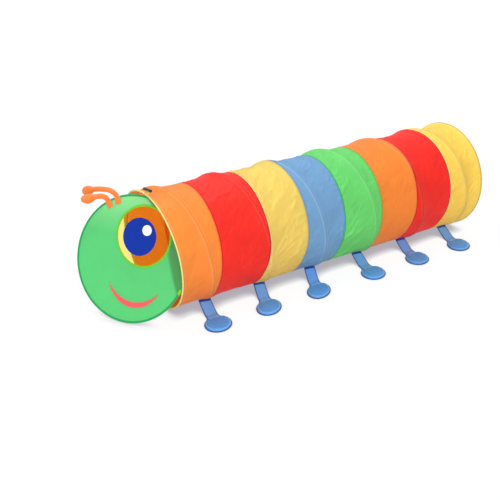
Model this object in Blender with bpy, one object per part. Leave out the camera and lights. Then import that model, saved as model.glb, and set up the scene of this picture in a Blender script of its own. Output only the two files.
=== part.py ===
# Pop-up crawl tunnel for children: a striped fabric tube held open by one spring-steel wire,
# with a round head flap at its mouth, two stuffed antennae and twelve stuffed legs.
# Metres, +Z up, X along the tunnel. The origin is on the floor under the middle of the object.
# The wire is the skilled piece: a closed loop, six turns and a closed loop, in one length.

import math

import bmesh
import bpy
from mathutils import Matrix, Vector

# Tunnel, measured along its axis from the plane of the mouth
PANEL_LENGTHS = [0.175, 0.214, 0.188, 0.185, 0.197, 0.192, 0.206, 0.184]
CREST_RADIUS = 0.2405        # fabric over the wire
PANEL_SAG = 0.014            # how far the fabric draws in between two turns
FABRIC = 0.0008
SEAT = 0.0003                # gap between pieces that touch
FLAT_DEPTH = 0.0005          # cut flat where the tube stands on the floor
MOUTH_LEAN = math.radians(4.4)
COLUMNS = 24
PANEL_ROWS = 7

# Spring wire
WIRE_RADIUS = 0.00125
WIRE_TURNS = 6
LOOP_GAP = 0.0006            # between the two strands of an end loop
LEAVE_TURN = 1.0 / COLUMNS   # the wire stays in the end loop this long
EASE_TURN = 0.125            # and bends into its pitch over this much more
RIDGE_ROOM = 0.0009          # over the wire, under the fabric
RIDGE_RISE = 0.025           # along the tube, from the binding's radius to the full crest
FERRULE_WALL = 0.0005
FERRULE_LENGTH = 0.016
FERRULE_FROM_END = 0.006
FERRULE_END_STEPS = 6        # facets of each round end

# Casing that sews the wire to the tube
CASING_WIDTH = 0.014
CASING_WALL = 0.0006
CASING_CHANNEL = 0.005
CASING_START_STEP = 7        # columns after the wire leaves the loop

# Bindings of the two ends
BINDING_WALL = 0.0008
BINDING_WIDTH = 0.012        # inside the tube, over both strands of the wire's end loop
BINDING_FLANGE = 0.006       # outside the tube
BINDING_CORNER = 0.0012

# Head flap, in its own plane: u to the right, v up, w to the front
HEAD_RADIUS = 0.244
HEAD_YAW = math.radians(-58.9)
HEAD_LEAN = math.radians(22.6)
HEAD_GAP = 0.0095            # from the hoop's edge to the mouth's rim, where the tape ties them
HINGE_ON_RIM = math.radians(202.5)    # round the tube, where the tape meets the rim
HEAD_COLUMNS = 36
HOOP_WIRE_RADIUS = 0.00125
HOOP_INSET = 0.0035
HOOP_BINDING_WIDTH = 0.008
WINDOW_BEARING = math.radians(67.7)
WINDOW_MARGIN = 0.0238       # from the window's ring to the head's edge
WINDOW_HOLE_RADIUS = 0.1125
WINDOW_RING_RADIUS = 0.1195
WINDOW_RING_WIDTH = 0.008
FILM_WALL = 0.0005
FILM_LAP = 0.005
PATCH_WALL = 0.0006
PUPIL_RADIUS = 0.072
PUPIL_ASIDE = -0.017         # from the window's centre
PUPIL_UP = -0.005
HIGHLIGHT_RADIUS = 0.020
HIGHLIGHT_ASIDE = 0.028      # from the pupil's centre
HIGHLIGHT_UP = 0.029
SMILE_U = 0.030
SMILE_V = -0.020
SMILE_RADIUS = 0.140
SMILE_DEPTH = 0.020
SMILE_START = math.radians(218)
SMILE_END = math.radians(322)
SMILE_STEPS = 16

# Hinge tape folded round the hoop and sewn to the mouth binding beside it
TAPE_WALL = 0.0006
TAPE_SPAN = math.radians(5)
TAPE_LAP = 0.009

# Antennae: facet of the hoop that carries it, heading at the base, bend along it, length, lean to the front
ANTENNAE = {
    "left": {"facet": 12, "heading": math.radians(184), "bend": math.radians(20),
             "length": 0.103, "forward": 0.046},
    "right": {"facet": 11, "heading": math.radians(171), "bend": math.radians(30),
              "length": 0.165, "forward": -0.014},
}
ANTENNA_SEAM = 0.0005        # half the thickness of its sewn end
ANTENNA_SEAM_DEPTH = 0.0008  # from the sewn end to the line that it turns on
ANTENNA_STALK = 0.0085
ANTENNA_BULB = 0.0185
ANTENNA_NECK_SHARE = 0.14
ANTENNA_STATIONS = 13
ANTENNA_SIDES = 10
BASE_PATCH_LENGTH = 0.030
BASE_PATCH_WIDTH = 0.026
BASE_PATCH_WALL = 0.0008

# Toggle on its tab, over the top of the mouth
TOGGLE_LENGTH = 0.060
TOGGLE_RADIUS = 0.0055
TOGGLE_END_RADIUS = 0.0028
TOGGLE_END_TAPER = 0.0028
TOGGLE_WAIST = 0.0040
TOGGLE_WAIST_LENGTH = 0.024
TOGGLE_WAIST_TAPER = 0.0014
TOGGLE_SIDES = 12
TOGGLE_ASIDE = -0.025
TOGGLE_TURN = math.radians(-9)
TAB_WIDTH = 0.018
TAB_WALL = 0.0010
TAB_RISE = 0.020
TAB_SIDES = 16

# Legs: a flat strap and a stuffed foot
FIRST_LEG = 0.158            # from the mouth plane
LAST_LEG = 0.1055            # from the tail
LEG_COUNT = 6
LEG_COLUMN_ANGLE = math.radians(30)    # round the tube from its lowest line
LEG_NOSE = 0.0015
STRAP_WIDTH = 0.048
STRAP_WALL = 0.0030
STRAP_REACH = 0.093          # from the hinge to the foot's rim
STRAP_TOUCHDOWN = 0.072      # where the strap reaches the floor
FOOT_RADIUS = 0.054
FOOT_HEIGHT = 0.021
FOOT_RIM = 0.004
FOOT_STATIONS = 9
FOOT_TOE_ANGLE = math.radians(12)
LEG_SOLE_SHARE = 0.9         # of the half width, flat underneath
LEG_CROWN_SHARE = 0.3
LEG_SHOULDER_SHARES = (0.72, 0.8)    # of the half width and of the height
LEG_LEANS = [0.027, 0.050, 0.060, 0.026, 0.030, 0.032]    # towards the head, at the foot

TUNNEL_LENGTH = sum(PANEL_LENGTHS)
STEP = 2 * math.pi / COLUMNS
HALF_STEP = STEP / 2
FACET_SHARE = math.cos(HALF_STEP)
AXIS_HEIGHT = CREST_RADIUS * FACET_SHARE - FLAT_DEPTH
RIM_RADIUS = CREST_RADIUS - FLAT_DEPTH / FACET_SHARE - BINDING_WALL - SEAT
LEG_SPACING = (TUNNEL_LENGTH - FIRST_LEG - LAST_LEG) / (LEG_COUNT - 1)
WINDOW_REACH = HEAD_RADIUS - WINDOW_MARGIN - WINDOW_RING_RADIUS
WINDOW_U = WINDOW_REACH * math.cos(WINDOW_BEARING)
WINDOW_V = WINDOW_REACH * math.sin(WINDOW_BEARING)
PUPIL_U = WINDOW_U + PUPIL_ASIDE
PUPIL_V = WINDOW_V + PUPIL_UP
FERRULE_RADIUS = WIRE_RADIUS + SEAT + FERRULE_WALL
LOOP_RADIUS = RIM_RADIUS - FABRIC - SEAT - FERRULE_RADIUS
RIDGE_RADIUS = CREST_RADIUS - FABRIC - RIDGE_ROOM - WIRE_RADIUS
OUTER_STRAND = BINDING_WALL + SEAT + FERRULE_RADIUS
STRAND_STEP = 2 * WIRE_RADIUS + LOOP_GAP
INNER_STRAND = OUTER_STRAND + STRAND_STEP
START_COLUMN = 22            # column where the wire leaves the end loops
PATCH_BASE = FABRIC / 2 + SEAT

COLOURS = {
    "orange": (0.98, 0.50, 0.18),
    "red": (0.93, 0.13, 0.12),
    "yellow": (0.96, 0.80, 0.25),
    "blue": (0.33, 0.56, 0.82),
    "green": (0.30, 0.80, 0.33),
    "pale_yellow": (1.00, 0.90, 0.45),
    "head_green": (0.40, 0.85, 0.52),
    "hoop_green": (0.06, 0.60, 0.33),
    "lime": (0.35, 0.75, 0.08),
    "antenna_orange": (0.94, 0.46, 0.14),
    "leg_blue": (0.22, 0.55, 0.86),
    "smile_red": (0.95, 0.22, 0.28),
    "white": (0.95, 0.95, 0.92),
    "pupil_blue": (0.02, 0.22, 0.62),
    "black": (0.03, 0.03, 0.03),
}
PANEL_COLOURS = ["orange", "red", "yellow", "blue", "green", "orange", "red", "yellow"]


def clear_scene():
    for item in list(bpy.data.objects):
        bpy.data.objects.remove(item)


def to_linear(value):
    return value / 12.92 if value <= 0.04045 else ((value + 0.055) / 1.055) ** 2.4


def make_material(name, colour, roughness=0.8, metallic=0.0, alpha=1.0):
    material = bpy.data.materials.new(name)
    material.use_nodes = True
    shader = material.node_tree.nodes["Principled BSDF"]
    linear = [to_linear(value) for value in colour]
    shader.inputs["Base Color"].default_value = (*linear, 1.0)
    shader.inputs["Roughness"].default_value = roughness
    shader.inputs["Metallic"].default_value = metallic
    shader.inputs["Alpha"].default_value = alpha
    material.diffuse_color = (*linear, alpha)
    return material


def cloth(name, colour):
    return make_material(name + "_cloth", COLOURS[colour])


def steel(name):
    return make_material(name + "_steel", (0.60, 0.61, 0.62), 0.3, 1.0)


def new_empty(name, matrix, parent=None):
    empty = bpy.data.objects.new(name, None)
    bpy.context.collection.objects.link(empty)
    empty.parent = parent
    if parent:
        empty.matrix_parent_inverse = Matrix.Identity(4)
        empty.matrix_basis = parent.matrix_world.inverted() @ matrix
    else:
        empty.matrix_basis = matrix
    bpy.context.view_layer.update()
    return empty


def attach(item, parent, source=Matrix.Identity(4)):
    """Turns an object modelled in source's coordinates into a child that sits on its parent's origin."""
    item.data.transform(parent.matrix_world.inverted() @ source)
    item.parent = parent
    return item


def object_from(name, verts, faces, material, sharp=35):
    mesh = bpy.data.meshes.new(name)
    mesh.from_pydata([tuple(point) for point in verts], [], faces)
    work = bmesh.new()
    work.from_mesh(mesh)
    bmesh.ops.recalc_face_normals(work, faces=work.faces)
    work.to_mesh(mesh)
    work.free()
    mesh.materials.append(material)
    mesh.shade_smooth()
    mesh.set_sharp_from_angle(angle=math.radians(sharp))
    item = bpy.data.objects.new(name, mesh)
    bpy.context.collection.objects.link(item)
    return item


def loft(name, sections, material, closed=False, sharp=35):
    """Joins sections of equal point counts into one body: a ring if closed, else with filled ends."""
    count, around = len(sections), len(sections[0])
    verts = [point for section in sections for point in section]
    faces = []
    for i in range(count if closed else count - 1):
        this, after = i * around, (i + 1) % count * around
        for j in range(around):
            k = (j + 1) % around
            faces.append((this + j, this + k, after + k, after + j))
    if not closed:
        faces.append(tuple(reversed(range(around))))
        faces.append(tuple(range((count - 1) * around, count * around)))
    return object_from(name, verts, faces, material, sharp)


def plate(name, outlines, low, high, material, sharp=35):
    """A flat sheet between two heights, filled inside its first outline and open inside the others."""
    work = bmesh.new()
    edges = []
    for outline in outlines:
        points = [work.verts.new((x, y, low)) for x, y in outline]
        edges += [work.edges.new(pair) for pair in zip(points, points[1:] + points[:1])]
    bmesh.ops.triangle_fill(work, use_beauty=True, use_dissolve=False, edges=edges)
    raised = bmesh.ops.extrude_face_region(work, geom=list(work.faces))["geom"]
    tops = [item for item in raised if isinstance(item, bmesh.types.BMVert)]
    bmesh.ops.translate(work, vec=(0, 0, high - low), verts=tops)
    bmesh.ops.recalc_face_normals(work, faces=work.faces)
    mesh = bpy.data.meshes.new(name)
    work.to_mesh(mesh)
    work.free()
    mesh.materials.append(material)
    mesh.shade_smooth()
    mesh.set_sharp_from_angle(angle=math.radians(sharp))
    item = bpy.data.objects.new(name, mesh)
    bpy.context.collection.objects.link(item)
    return item


def circle(radius, count, u=0.0, v=0.0, start=0.0):
    return [(u + radius * math.cos(start + 2 * math.pi * i / count),
             v + radius * math.sin(start + 2 * math.pi * i / count)) for i in range(count)]


def smooth_step(share):
    share = min(max(share, 0.0), 1.0)
    return share * share * (3 - 2 * share)


def column_angle(column):
    return (column % COLUMNS + 0.5) * STEP


def tube_point(x, radius, column):
    angle = column_angle(column)
    return Vector((x, radius * math.cos(angle), AXIS_HEIGHT + radius * math.sin(angle)))


def mouth_plane(column):
    """The mouth's binding leans back towards the head at its top."""
    return -math.tan(MOUTH_LEAN) * CREST_RADIUS * math.sin(column_angle(column))


def steps_from_start(column):
    return (column - START_COLUMN) % COLUMNS


WIRE_START = mouth_plane(START_COLUMN + LEAVE_TURN * COLUMNS) + INNER_STRAND
WIRE_END = TUNNEL_LENGTH - INNER_STRAND
PITCH = (WIRE_END - WIRE_START) / (WIRE_TURNS - 2 * LEAVE_TURN - EASE_TURN)


def wire_advance(turns):
    """Pitches that the wire has advanced, this many turns after it left the mouth's loop."""
    run = WIRE_TURNS - 2 * LEAVE_TURN
    turns = min(max(turns - LEAVE_TURN, 0.0), run)
    if turns < EASE_TURN:
        return turns * turns / (2 * EASE_TURN)
    if turns > run - EASE_TURN:
        left = run - turns
        return run - EASE_TURN - left * left / (2 * EASE_TURN)
    return turns - EASE_TURN / 2


def ridge_share(turns):
    """0 where the wire lies under a binding, 1 where it carries a full ridge."""
    advance = wire_advance(turns)
    left = wire_advance(WIRE_TURNS) - advance
    return smooth_step((PITCH * min(advance, left) - (BINDING_WIDTH - INNER_STRAND + SEAT)) / RIDGE_RISE)


def wire_place(turns):
    """Distance along the tube and radius of the wire's centre, within its six turns."""
    radius = LOOP_RADIUS + (RIDGE_RADIUS - LOOP_RADIUS) * ridge_share(turns)
    if turns < LEAVE_TURN:
        return mouth_plane(START_COLUMN + turns * COLUMNS) + INNER_STRAND, radius
    return WIRE_START + PITCH * wire_advance(turns), radius


def ridges_at(column):
    """Where the wire holds the fabric out along one column: distance and fabric radius, mouth to tail."""
    found = [(mouth_plane(column) + OUTER_STRAND, RIM_RADIUS)]
    share = steps_from_start(column) / COLUMNS
    for turn in range(WIRE_TURNS + (1 if share == 0 else 0)):
        x, _ = wire_place(turn + share)
        found.append((x, RIM_RADIUS + (CREST_RADIUS - RIM_RADIUS) * ridge_share(turn + share)))
    found.append((TUNNEL_LENGTH - OUTER_STRAND, RIM_RADIUS))
    return found


def fabric_radius(x, column):
    ridges = ridges_at(column)
    if x <= ridges[0][0]:
        return ridges[0][1]
    for (low_x, low_r), (high_x, high_r) in zip(ridges, ridges[1:]):
        if x <= high_x:
            span = high_x - low_x
            share = (x - low_x) / span
            drawn = PANEL_SAG * min(1.0, (span / PITCH) ** 2) * (1 - math.cos(2 * math.pi * share)) / 2
            return low_r + (high_r - low_r) * smooth_step(share) - drawn
    return ridges[-1][1]


def seam_at(seam, column):
    if seam == 0:
        return mouth_plane(column) + BINDING_WALL + SEAT / 2
    if seam == len(PANEL_LENGTHS):
        return TUNNEL_LENGTH - BINDING_WALL - SEAT / 2
    return sum(PANEL_LENGTHS[:seam])


def floor_cut(point, height):
    point.z = max(point.z, height)
    return point


def panel_rows(index, column):
    """Distances of a panel's rows along one column, with one at the edge of a binding that covers it."""
    start = seam_at(index, column) + SEAT / 2
    end = seam_at(index + 1, column) - SEAT / 2
    rows = [start + (end - start) * row / PANEL_ROWS for row in range(PANEL_ROWS + 1)]
    if index == 0:
        rows.insert(1, mouth_plane(column) + BINDING_FLANGE + SEAT)
    if index == len(PANEL_LENGTHS) - 1:
        rows.insert(-1, TUNNEL_LENGTH - BINDING_FLANGE - SEAT)
    return rows


def make_panel(index):
    """One stripe of the tube. Both skins are cut along the same diagonals."""
    name = "panel_%d_%s" % (index + 1, PANEL_COLOURS[index])
    across = len(panel_rows(index, 0))
    verts = []
    for column in range(COLUMNS):
        for skin, lift in ((0.0, 0.0), (FABRIC, FABRIC)):
            for x in panel_rows(index, column):
                verts.append(floor_cut(tube_point(x, fabric_radius(x, column) - skin, column), lift))
    faces = []
    for column in range(COLUMNS):
        this, after = column * 2 * across, (column + 1) % COLUMNS * 2 * across
        for side in (0, across):
            for row in range(across - 1):
                a, b = this + side + row, after + side + row
                faces += [(a, a + 1, b + 1), (a, b + 1, b)]
        for row in (0, across - 1):
            a, b = this + row, after + row
            faces += [(a, b, b + across), (a, b + across, a + across)]
    return object_from(name, verts, faces, cloth(name, PANEL_COLOURS[index]), 50)


def coil_points():
    """The spring's centre line: a closed loop, the turns, and a closed loop."""
    points = []
    for step in range(COLUMNS):
        column = START_COLUMN + step
        x = mouth_plane(column) + OUTER_STRAND + STRAND_STEP * step / COLUMNS
        points.append(tube_point(x, LOOP_RADIUS, column))
    for step in range(WIRE_TURNS * COLUMNS + 1):
        x, radius = wire_place(step / COLUMNS)
        points.append(tube_point(x, radius, START_COLUMN + step))
    for step in range(1, COLUMNS + 1):
        x = TUNNEL_LENGTH - INNER_STRAND + STRAND_STEP * step / COLUMNS
        points.append(tube_point(x, LOOP_RADIUS, START_COLUMN + step))
    return points


def wire_curve(name, points, radius, closed=False):
    data = bpy.data.curves.new(name, "CURVE")
    data.dimensions = "3D"
    data.bevel_depth = radius
    data.bevel_resolution = 1
    data.use_fill_caps = not closed
    spline = data.splines.new("POLY")
    spline.points.add(len(points) - 1)
    for point, place in zip(spline.points, points):
        point.co = (*place, 1.0)
    spline.use_cyclic_u = closed
    data.materials.append(steel(name))
    item = bpy.data.objects.new(name, data)
    bpy.context.collection.objects.link(item)
    return item


def least_gap(points, radius):
    """The least distance between two loops of a wire, skin to skin, measured on its points."""
    apart = COLUMNS // 2
    least = min((points[i] - points[j]).length
                for i in range(len(points)) for j in range(i + apart, len(points)))
    return least - 2 * radius


def make_casing():
    """A tape inside the tube, folded round the wire and sewn to the fabric beside it."""
    half, channel = CASING_WIDTH / 2, CASING_CHANNEL / 2
    high = WIRE_RADIUS
    low = -WIRE_RADIUS - SEAT
    flare = half - (half - channel) / 2
    outer = [(-half, high), (-flare, high), (-channel, low), (channel, low), (flare, high), (half, high)]
    profile = outer + [(x, r - CASING_WALL) for x, r in reversed(outer)]
    sections = []
    for step in range(CASING_START_STEP, WIRE_TURNS * COLUMNS - CASING_START_STEP + 1):
        x, radius = wire_place(step / COLUMNS)
        column = START_COLUMN + step
        sections.append([tube_point(x + dx, radius + dr, column) for dx, dr in profile])
    return loft("coil_casing", sections, cloth("coil_casing", "orange"))


def binding_profile():
    """A folded tape in section: distance inwards from the rim, and radius."""
    top = RIM_RADIUS + SEAT + BINDING_WALL
    low = LOOP_RADIUS - FERRULE_RADIUS - SEAT - BINDING_WALL
    wall, wide, corner, flange = BINDING_WALL, BINDING_WIDTH, BINDING_CORNER, BINDING_FLANGE
    cover = [(flange, top), (corner, top), (0.0, top - corner), (0.0, low + corner), (corner, low), (wide, low)]
    return cover + [(wide, low + wall), (wall, low + wall), (wall, top - wall), (flange, top - wall)]


def make_binding(name, colour, at_mouth):
    sections = []
    for column in range(COLUMNS):
        edge = mouth_plane(column) if at_mouth else TUNNEL_LENGTH
        inward = 1 if at_mouth else -1
        sections.append([tube_point(edge + inward * s, r, column) for s, r in binding_profile()])
    return loft(name, sections, cloth(name, colour), closed=True)


def oval(half_distance, radius):
    """Two half circles joined by straight sides."""
    points = []
    for side in (1, -1):
        for i in range(FERRULE_END_STEPS + 1):
            angle = side * math.pi / 2 * (side * 2 * i / FERRULE_END_STEPS - 1)
            points.append((side * half_distance + radius * math.cos(angle), radius * math.sin(angle)))
    return points


def make_ferrule(name, first, second, distance, spare):
    """A crimped sleeve round the two strands of an end loop, along the straight run from first to second."""
    item = plate(name, [oval(STRAND_STEP / 2, FERRULE_RADIUS), oval(STRAND_STEP / 2, WIRE_RADIUS + SEAT)],
                 0.0, FERRULE_LENGTH, steel(name))
    along = (second - first).normalized()
    across = Vector((1, 0, 0))
    across = (across - along * across.dot(along)).normalized()
    turn = Matrix((across, along.cross(across), along)).transposed().to_4x4()
    centre = first + along * distance + Vector((spare, 0, 0))
    item.data.transform(Matrix.Translation(centre) @ turn)
    return item


def rim_point():
    """The point of the mouth's rim that the head is tied to, on the near side below its middle."""
    aside, rise = CREST_RADIUS * math.cos(HINGE_ON_RIM), CREST_RADIUS * math.sin(HINGE_ON_RIM)
    return Vector((-math.tan(MOUTH_LEAN) * rise, aside, AXIS_HEIGHT + rise))


def hinge_angle():
    """Where on the hoop the tape sits: level with the rim's point when the hoop stands on the floor."""
    half = HOOP_WIRE_RADIUS + SEAT + BINDING_WALL
    height = HEAD_RADIUS * math.cos(HEAD_LEAN) + (half - BINDING_CORNER) * math.sin(HEAD_LEAN)
    return math.asin((rim_point().z - height) / (HEAD_RADIUS + HEAD_GAP) / math.cos(HEAD_LEAN))


def head_matrix():
    """From the head's own plane to the tunnel's frame. The hoop's lowest edge touches the floor."""
    normal = Vector((math.sin(HEAD_YAW) * math.cos(HEAD_LEAN),
                     -math.cos(HEAD_YAW) * math.cos(HEAD_LEAN), math.sin(HEAD_LEAN)))
    right = Vector((math.cos(HEAD_YAW), math.sin(HEAD_YAW), 0))
    rise = normal.cross(right)
    out = hinge_angle()
    reach = HEAD_RADIUS + HEAD_GAP
    centre = rim_point() - (right * math.cos(out) + rise * math.sin(out)) * reach
    return Matrix.Translation(centre) @ Matrix((right, rise, normal)).transposed().to_4x4()


def head_ring(name, profile, material):
    sections = []
    for i in range(HEAD_COLUMNS):
        angle = 2 * math.pi * i / HEAD_COLUMNS
        sections.append([(r * math.cos(angle), r * math.sin(angle), w) for r, w in profile])
    return loft(name, sections, material, closed=True)


def hoop_binding_profile():
    half = HOOP_WIRE_RADIUS + SEAT + BINDING_WALL
    inner = HEAD_RADIUS - HOOP_BINDING_WIDTH
    shoulder = HEAD_RADIUS - 2 * HOOP_INSET
    edge = PATCH_BASE
    corner, wall = BINDING_CORNER, BINDING_WALL
    front = [(inner, edge + wall), (shoulder, half),
             (HEAD_RADIUS - corner, half), (HEAD_RADIUS, half - corner)]
    hollow = [(inner, edge), (shoulder, half - wall), (HEAD_RADIUS - wall, half - wall)]
    back = [(r, -w) for r, w in reversed(front)]
    return front + back + [(r, -w) for r, w in hollow] + list(reversed(hollow))


def make_head():
    """The pieces of the head flap, in its own plane."""
    wire_ring = HEAD_RADIUS - HOOP_INSET
    rim = wire_ring - HOOP_WIRE_RADIUS - SEAT
    window = circle(WINDOW_HOLE_RADIUS, HEAD_COLUMNS, WINDOW_U, WINDOW_V)
    ring_inner = WINDOW_RING_RADIUS - WINDOW_RING_WIDTH
    film_radius = WINDOW_HOLE_RADIUS + FILM_LAP
    film_back = -PATCH_BASE - FILM_WALL
    pupil_low = film_back + FILM_WALL + SEAT
    shine_low = pupil_low + PATCH_WALL + SEAT
    hoop = [Vector((x, y, 0)) for x, y in circle(wire_ring, HEAD_COLUMNS)]
    film = make_material("window_film", (0.95, 0.72, 0.10), 0.15, 0.0, 0.6)
    vinyl = make_material("pupil_vinyl", COLOURS["pupil_blue"], 0.3)
    pieces = [
        wire_curve("head_hoop_wire", hoop, HOOP_WIRE_RADIUS, closed=True),
        head_ring("head_hoop_binding", hoop_binding_profile(), cloth("head_hoop_binding", "hoop_green")),
        plate("head_panel", [circle(rim, HEAD_COLUMNS), window], -FABRIC / 2, FABRIC / 2,
              cloth("head_panel", "head_green")),
        plate("window_binding",
              [circle(WINDOW_RING_RADIUS, HEAD_COLUMNS, WINDOW_U, WINDOW_V),
               circle(ring_inner, HEAD_COLUMNS, WINDOW_U, WINDOW_V)],
              PATCH_BASE, PATCH_BASE + BINDING_WALL, cloth("window_binding", "lime")),
        plate("window_film", [circle(film_radius, HEAD_COLUMNS, WINDOW_U, WINDOW_V)],
              film_back, film_back + FILM_WALL, film),
        plate("eye_pupil", [circle(PUPIL_RADIUS, HEAD_COLUMNS, PUPIL_U, PUPIL_V)],
              pupil_low, pupil_low + PATCH_WALL, vinyl),
        plate("eye_highlight",
              [circle(HIGHLIGHT_RADIUS, COLUMNS, PUPIL_U + HIGHLIGHT_ASIDE, PUPIL_V + HIGHLIGHT_UP)],
              shine_low, shine_low + PATCH_WALL, make_material("eye_highlight_vinyl", COLOURS["white"], 0.4)),
        plate("smile_patch", [smile_outline()], PATCH_BASE, PATCH_BASE + PATCH_WALL,
              cloth("smile_patch", "smile_red")),
    ]
    return pieces


def smile_outline():
    """A crescent: one arc, and a second that bellies below it."""
    upper, lower = [], []
    for i in range(SMILE_STEPS + 1):
        share = i / SMILE_STEPS
        angle = SMILE_START + (SMILE_END - SMILE_START) * share
        belly = SMILE_DEPTH * math.sin(math.pi * share)
        for line, radius in ((upper, SMILE_RADIUS), (lower, SMILE_RADIUS + belly)):
            line.append((SMILE_U + radius * math.cos(angle), SMILE_V + radius * math.sin(angle)))
    return upper + list(reversed(lower))[1:-1]


def antenna_radius(share, length):
    """Half width along a stuffed antenna: a flat sewn base, a slim stalk and a round bulb."""
    bulb_start = 1 - 2 * ANTENNA_BULB / length
    if share < ANTENNA_NECK_SHARE:
        return ANTENNA_SEAM + (ANTENNA_STALK - ANTENNA_SEAM) * smooth_step(share / ANTENNA_NECK_SHARE)
    stalk = ANTENNA_STALK
    along = (share - bulb_start) / (1 - bulb_start)
    if along <= 0:
        return stalk
    bulb = ANTENNA_BULB * math.sqrt(max(1 - (2 * along - 1) ** 2, 0.0))
    return max(bulb, stalk if along < 0.5 else ANTENNA_SEAM)


def antenna_stations(length):
    """Shares of the length, closer together on the bulb."""
    bulb_start = 1 - 2 * ANTENNA_BULB / length
    on_bulb = ANTENNA_STATIONS // 2
    shares = [bulb_start * i / on_bulb for i in range(on_bulb)]
    for i in range(on_bulb + 1):
        shares.append(bulb_start + (1 - bulb_start) * (1 - math.cos(math.pi * i / on_bulb)) / 2)
    return shares


def antenna_angle(given):
    """Where on the hoop it is sewn on: the middle of a facet."""
    return 2 * math.pi * (given["facet"] + 0.5) / HEAD_COLUMNS


def antenna_base(given, depth=0.0):
    """In the head's plane, just off the hoop's edge."""
    angle = antenna_angle(given)
    reach = HEAD_RADIUS * math.cos(math.pi / HEAD_COLUMNS) + SEAT + depth
    return Vector((reach * math.cos(angle), reach * math.sin(angle), 0.0))


def antenna_heading(given, share):
    """Straight out of the hoop at its base, then along the given heading, bending over."""
    settled = smooth_step(share / ANTENNA_NECK_SHARE)
    start = antenna_angle(given)
    return start + (given["heading"] - start) * settled + given["bend"] * share


def make_antenna(side):
    """A stuffed tube that leaves the hoop's edge and bends over, in the head's plane."""
    given = ANTENNAE[side]
    place = antenna_base(given)
    sections, last = [], 0.0
    for share in antenna_stations(given["length"]):
        heading = antenna_heading(given, (share + last) / 2)
        place = place + Vector((math.cos(heading), math.sin(heading), 0)) * given["length"] * (share - last)
        last = share
        heading = antenna_heading(given, share)
        aside = Vector((-math.sin(heading), math.cos(heading), 0))
        centre = place + Vector((0, 0, given["forward"] * share * share))
        half = antenna_radius(share, given["length"])
        wide = max(half, ANTENNA_STALK) if share < ANTENNA_NECK_SHARE else half
        section = []
        for i in range(ANTENNA_SIDES):
            angle = 2 * math.pi * (i + 0.5) / ANTENNA_SIDES
            section.append(centre + aside * wide * math.cos(angle) + Vector((0, 0, half * math.sin(angle))))
        sections.append(section)
    name = "antenna_" + side
    return loft(name, sections, cloth(name, "antenna_orange"), sharp=60)


def make_base_patch(side):
    """The square of cloth that sews an antenna to the front of the hoop."""
    angle = antenna_angle(ANTENNAE[side])
    front = HOOP_WIRE_RADIUS + SEAT + BINDING_WALL + SEAT
    outward = Vector((math.cos(angle), math.sin(angle)))
    aside = Vector((-math.sin(angle), math.cos(angle)))
    corners = [(-BASE_PATCH_LENGTH, -1), (0.0, -1), (0.0, 1), (-BASE_PATCH_LENGTH, 1)]
    outline = [outward * (HEAD_RADIUS + r) + aside * (s * BASE_PATCH_WIDTH / 2) for r, s in corners]
    name = "antenna_patch_" + side
    return plate(name, [outline], front, front + BASE_PATCH_WALL, cloth(name, "antenna_orange"))


def hinge_point():
    angle = hinge_angle()
    reach = HEAD_RADIUS + SEAT + TAPE_WALL / 2
    return head_matrix() @ Vector((reach * math.cos(angle), reach * math.sin(angle), 0))


def make_hinge_tape():
    """A tape folded over the hoop's edge, on which the flap turns."""
    half = HOOP_WIRE_RADIUS + SEAT + BINDING_WALL + SEAT
    inner = HEAD_RADIUS - TAPE_LAP
    edge, corner, wall = HEAD_RADIUS + SEAT, BINDING_CORNER, TAPE_WALL
    cover = [(inner, half + wall), (edge - corner + wall, half + wall), (edge + wall, half - corner + wall)]
    lining = [(inner, half), (edge - corner, half), (edge, half - corner)]
    profile = cover + [(r, -w) for r, w in reversed(cover)]
    profile += [(r, -w) for r, w in lining] + list(reversed(lining))
    sections = []
    for share in (-0.5, 0.0, 0.5):
        angle = hinge_angle() + TAPE_SPAN * share
        sections.append([(r * math.cos(angle), r * math.sin(angle), w) for r, w in profile])
    return loft("head_hinge_tape", sections, cloth("head_hinge_tape", "lime"))


def toggle_base():
    """On the top of the mouth's binding."""
    top = AXIS_HEIGHT + (RIM_RADIUS + SEAT + BINDING_WALL) * FACET_SHARE
    lean = -math.tan(MOUTH_LEAN) * (top - AXIS_HEIGHT)
    return Vector((lean + BINDING_FLANGE / 2, TOGGLE_ASIDE, top + SEAT + TAB_WALL / 2))


def make_toggle():
    """A turned bar with a slimmer waist, where its tab goes round it."""
    half, waist = TOGGLE_LENGTH / 2, TOGGLE_WAIST_LENGTH / 2
    sides = [(-half, TOGGLE_END_RADIUS), (-half + TOGGLE_END_TAPER, TOGGLE_RADIUS), (-waist, TOGGLE_RADIUS),
             (-waist + TOGGLE_WAIST_TAPER, TOGGLE_WAIST)]
    stations = sides + [(-s, r) for s, r in reversed(sides)]
    centre = toggle_base() + Vector((0, 0, TAB_RISE))
    turn = Matrix.Rotation(TOGGLE_TURN, 3, "X")
    sections = []
    for s, radius in stations:
        sections.append([centre + turn @ Vector((x, s, z)) for x, z in circle(radius, TOGGLE_SIDES)])
    return loft("toggle", sections, make_material("toggle_plastic", COLOURS["black"], 0.4))


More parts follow.
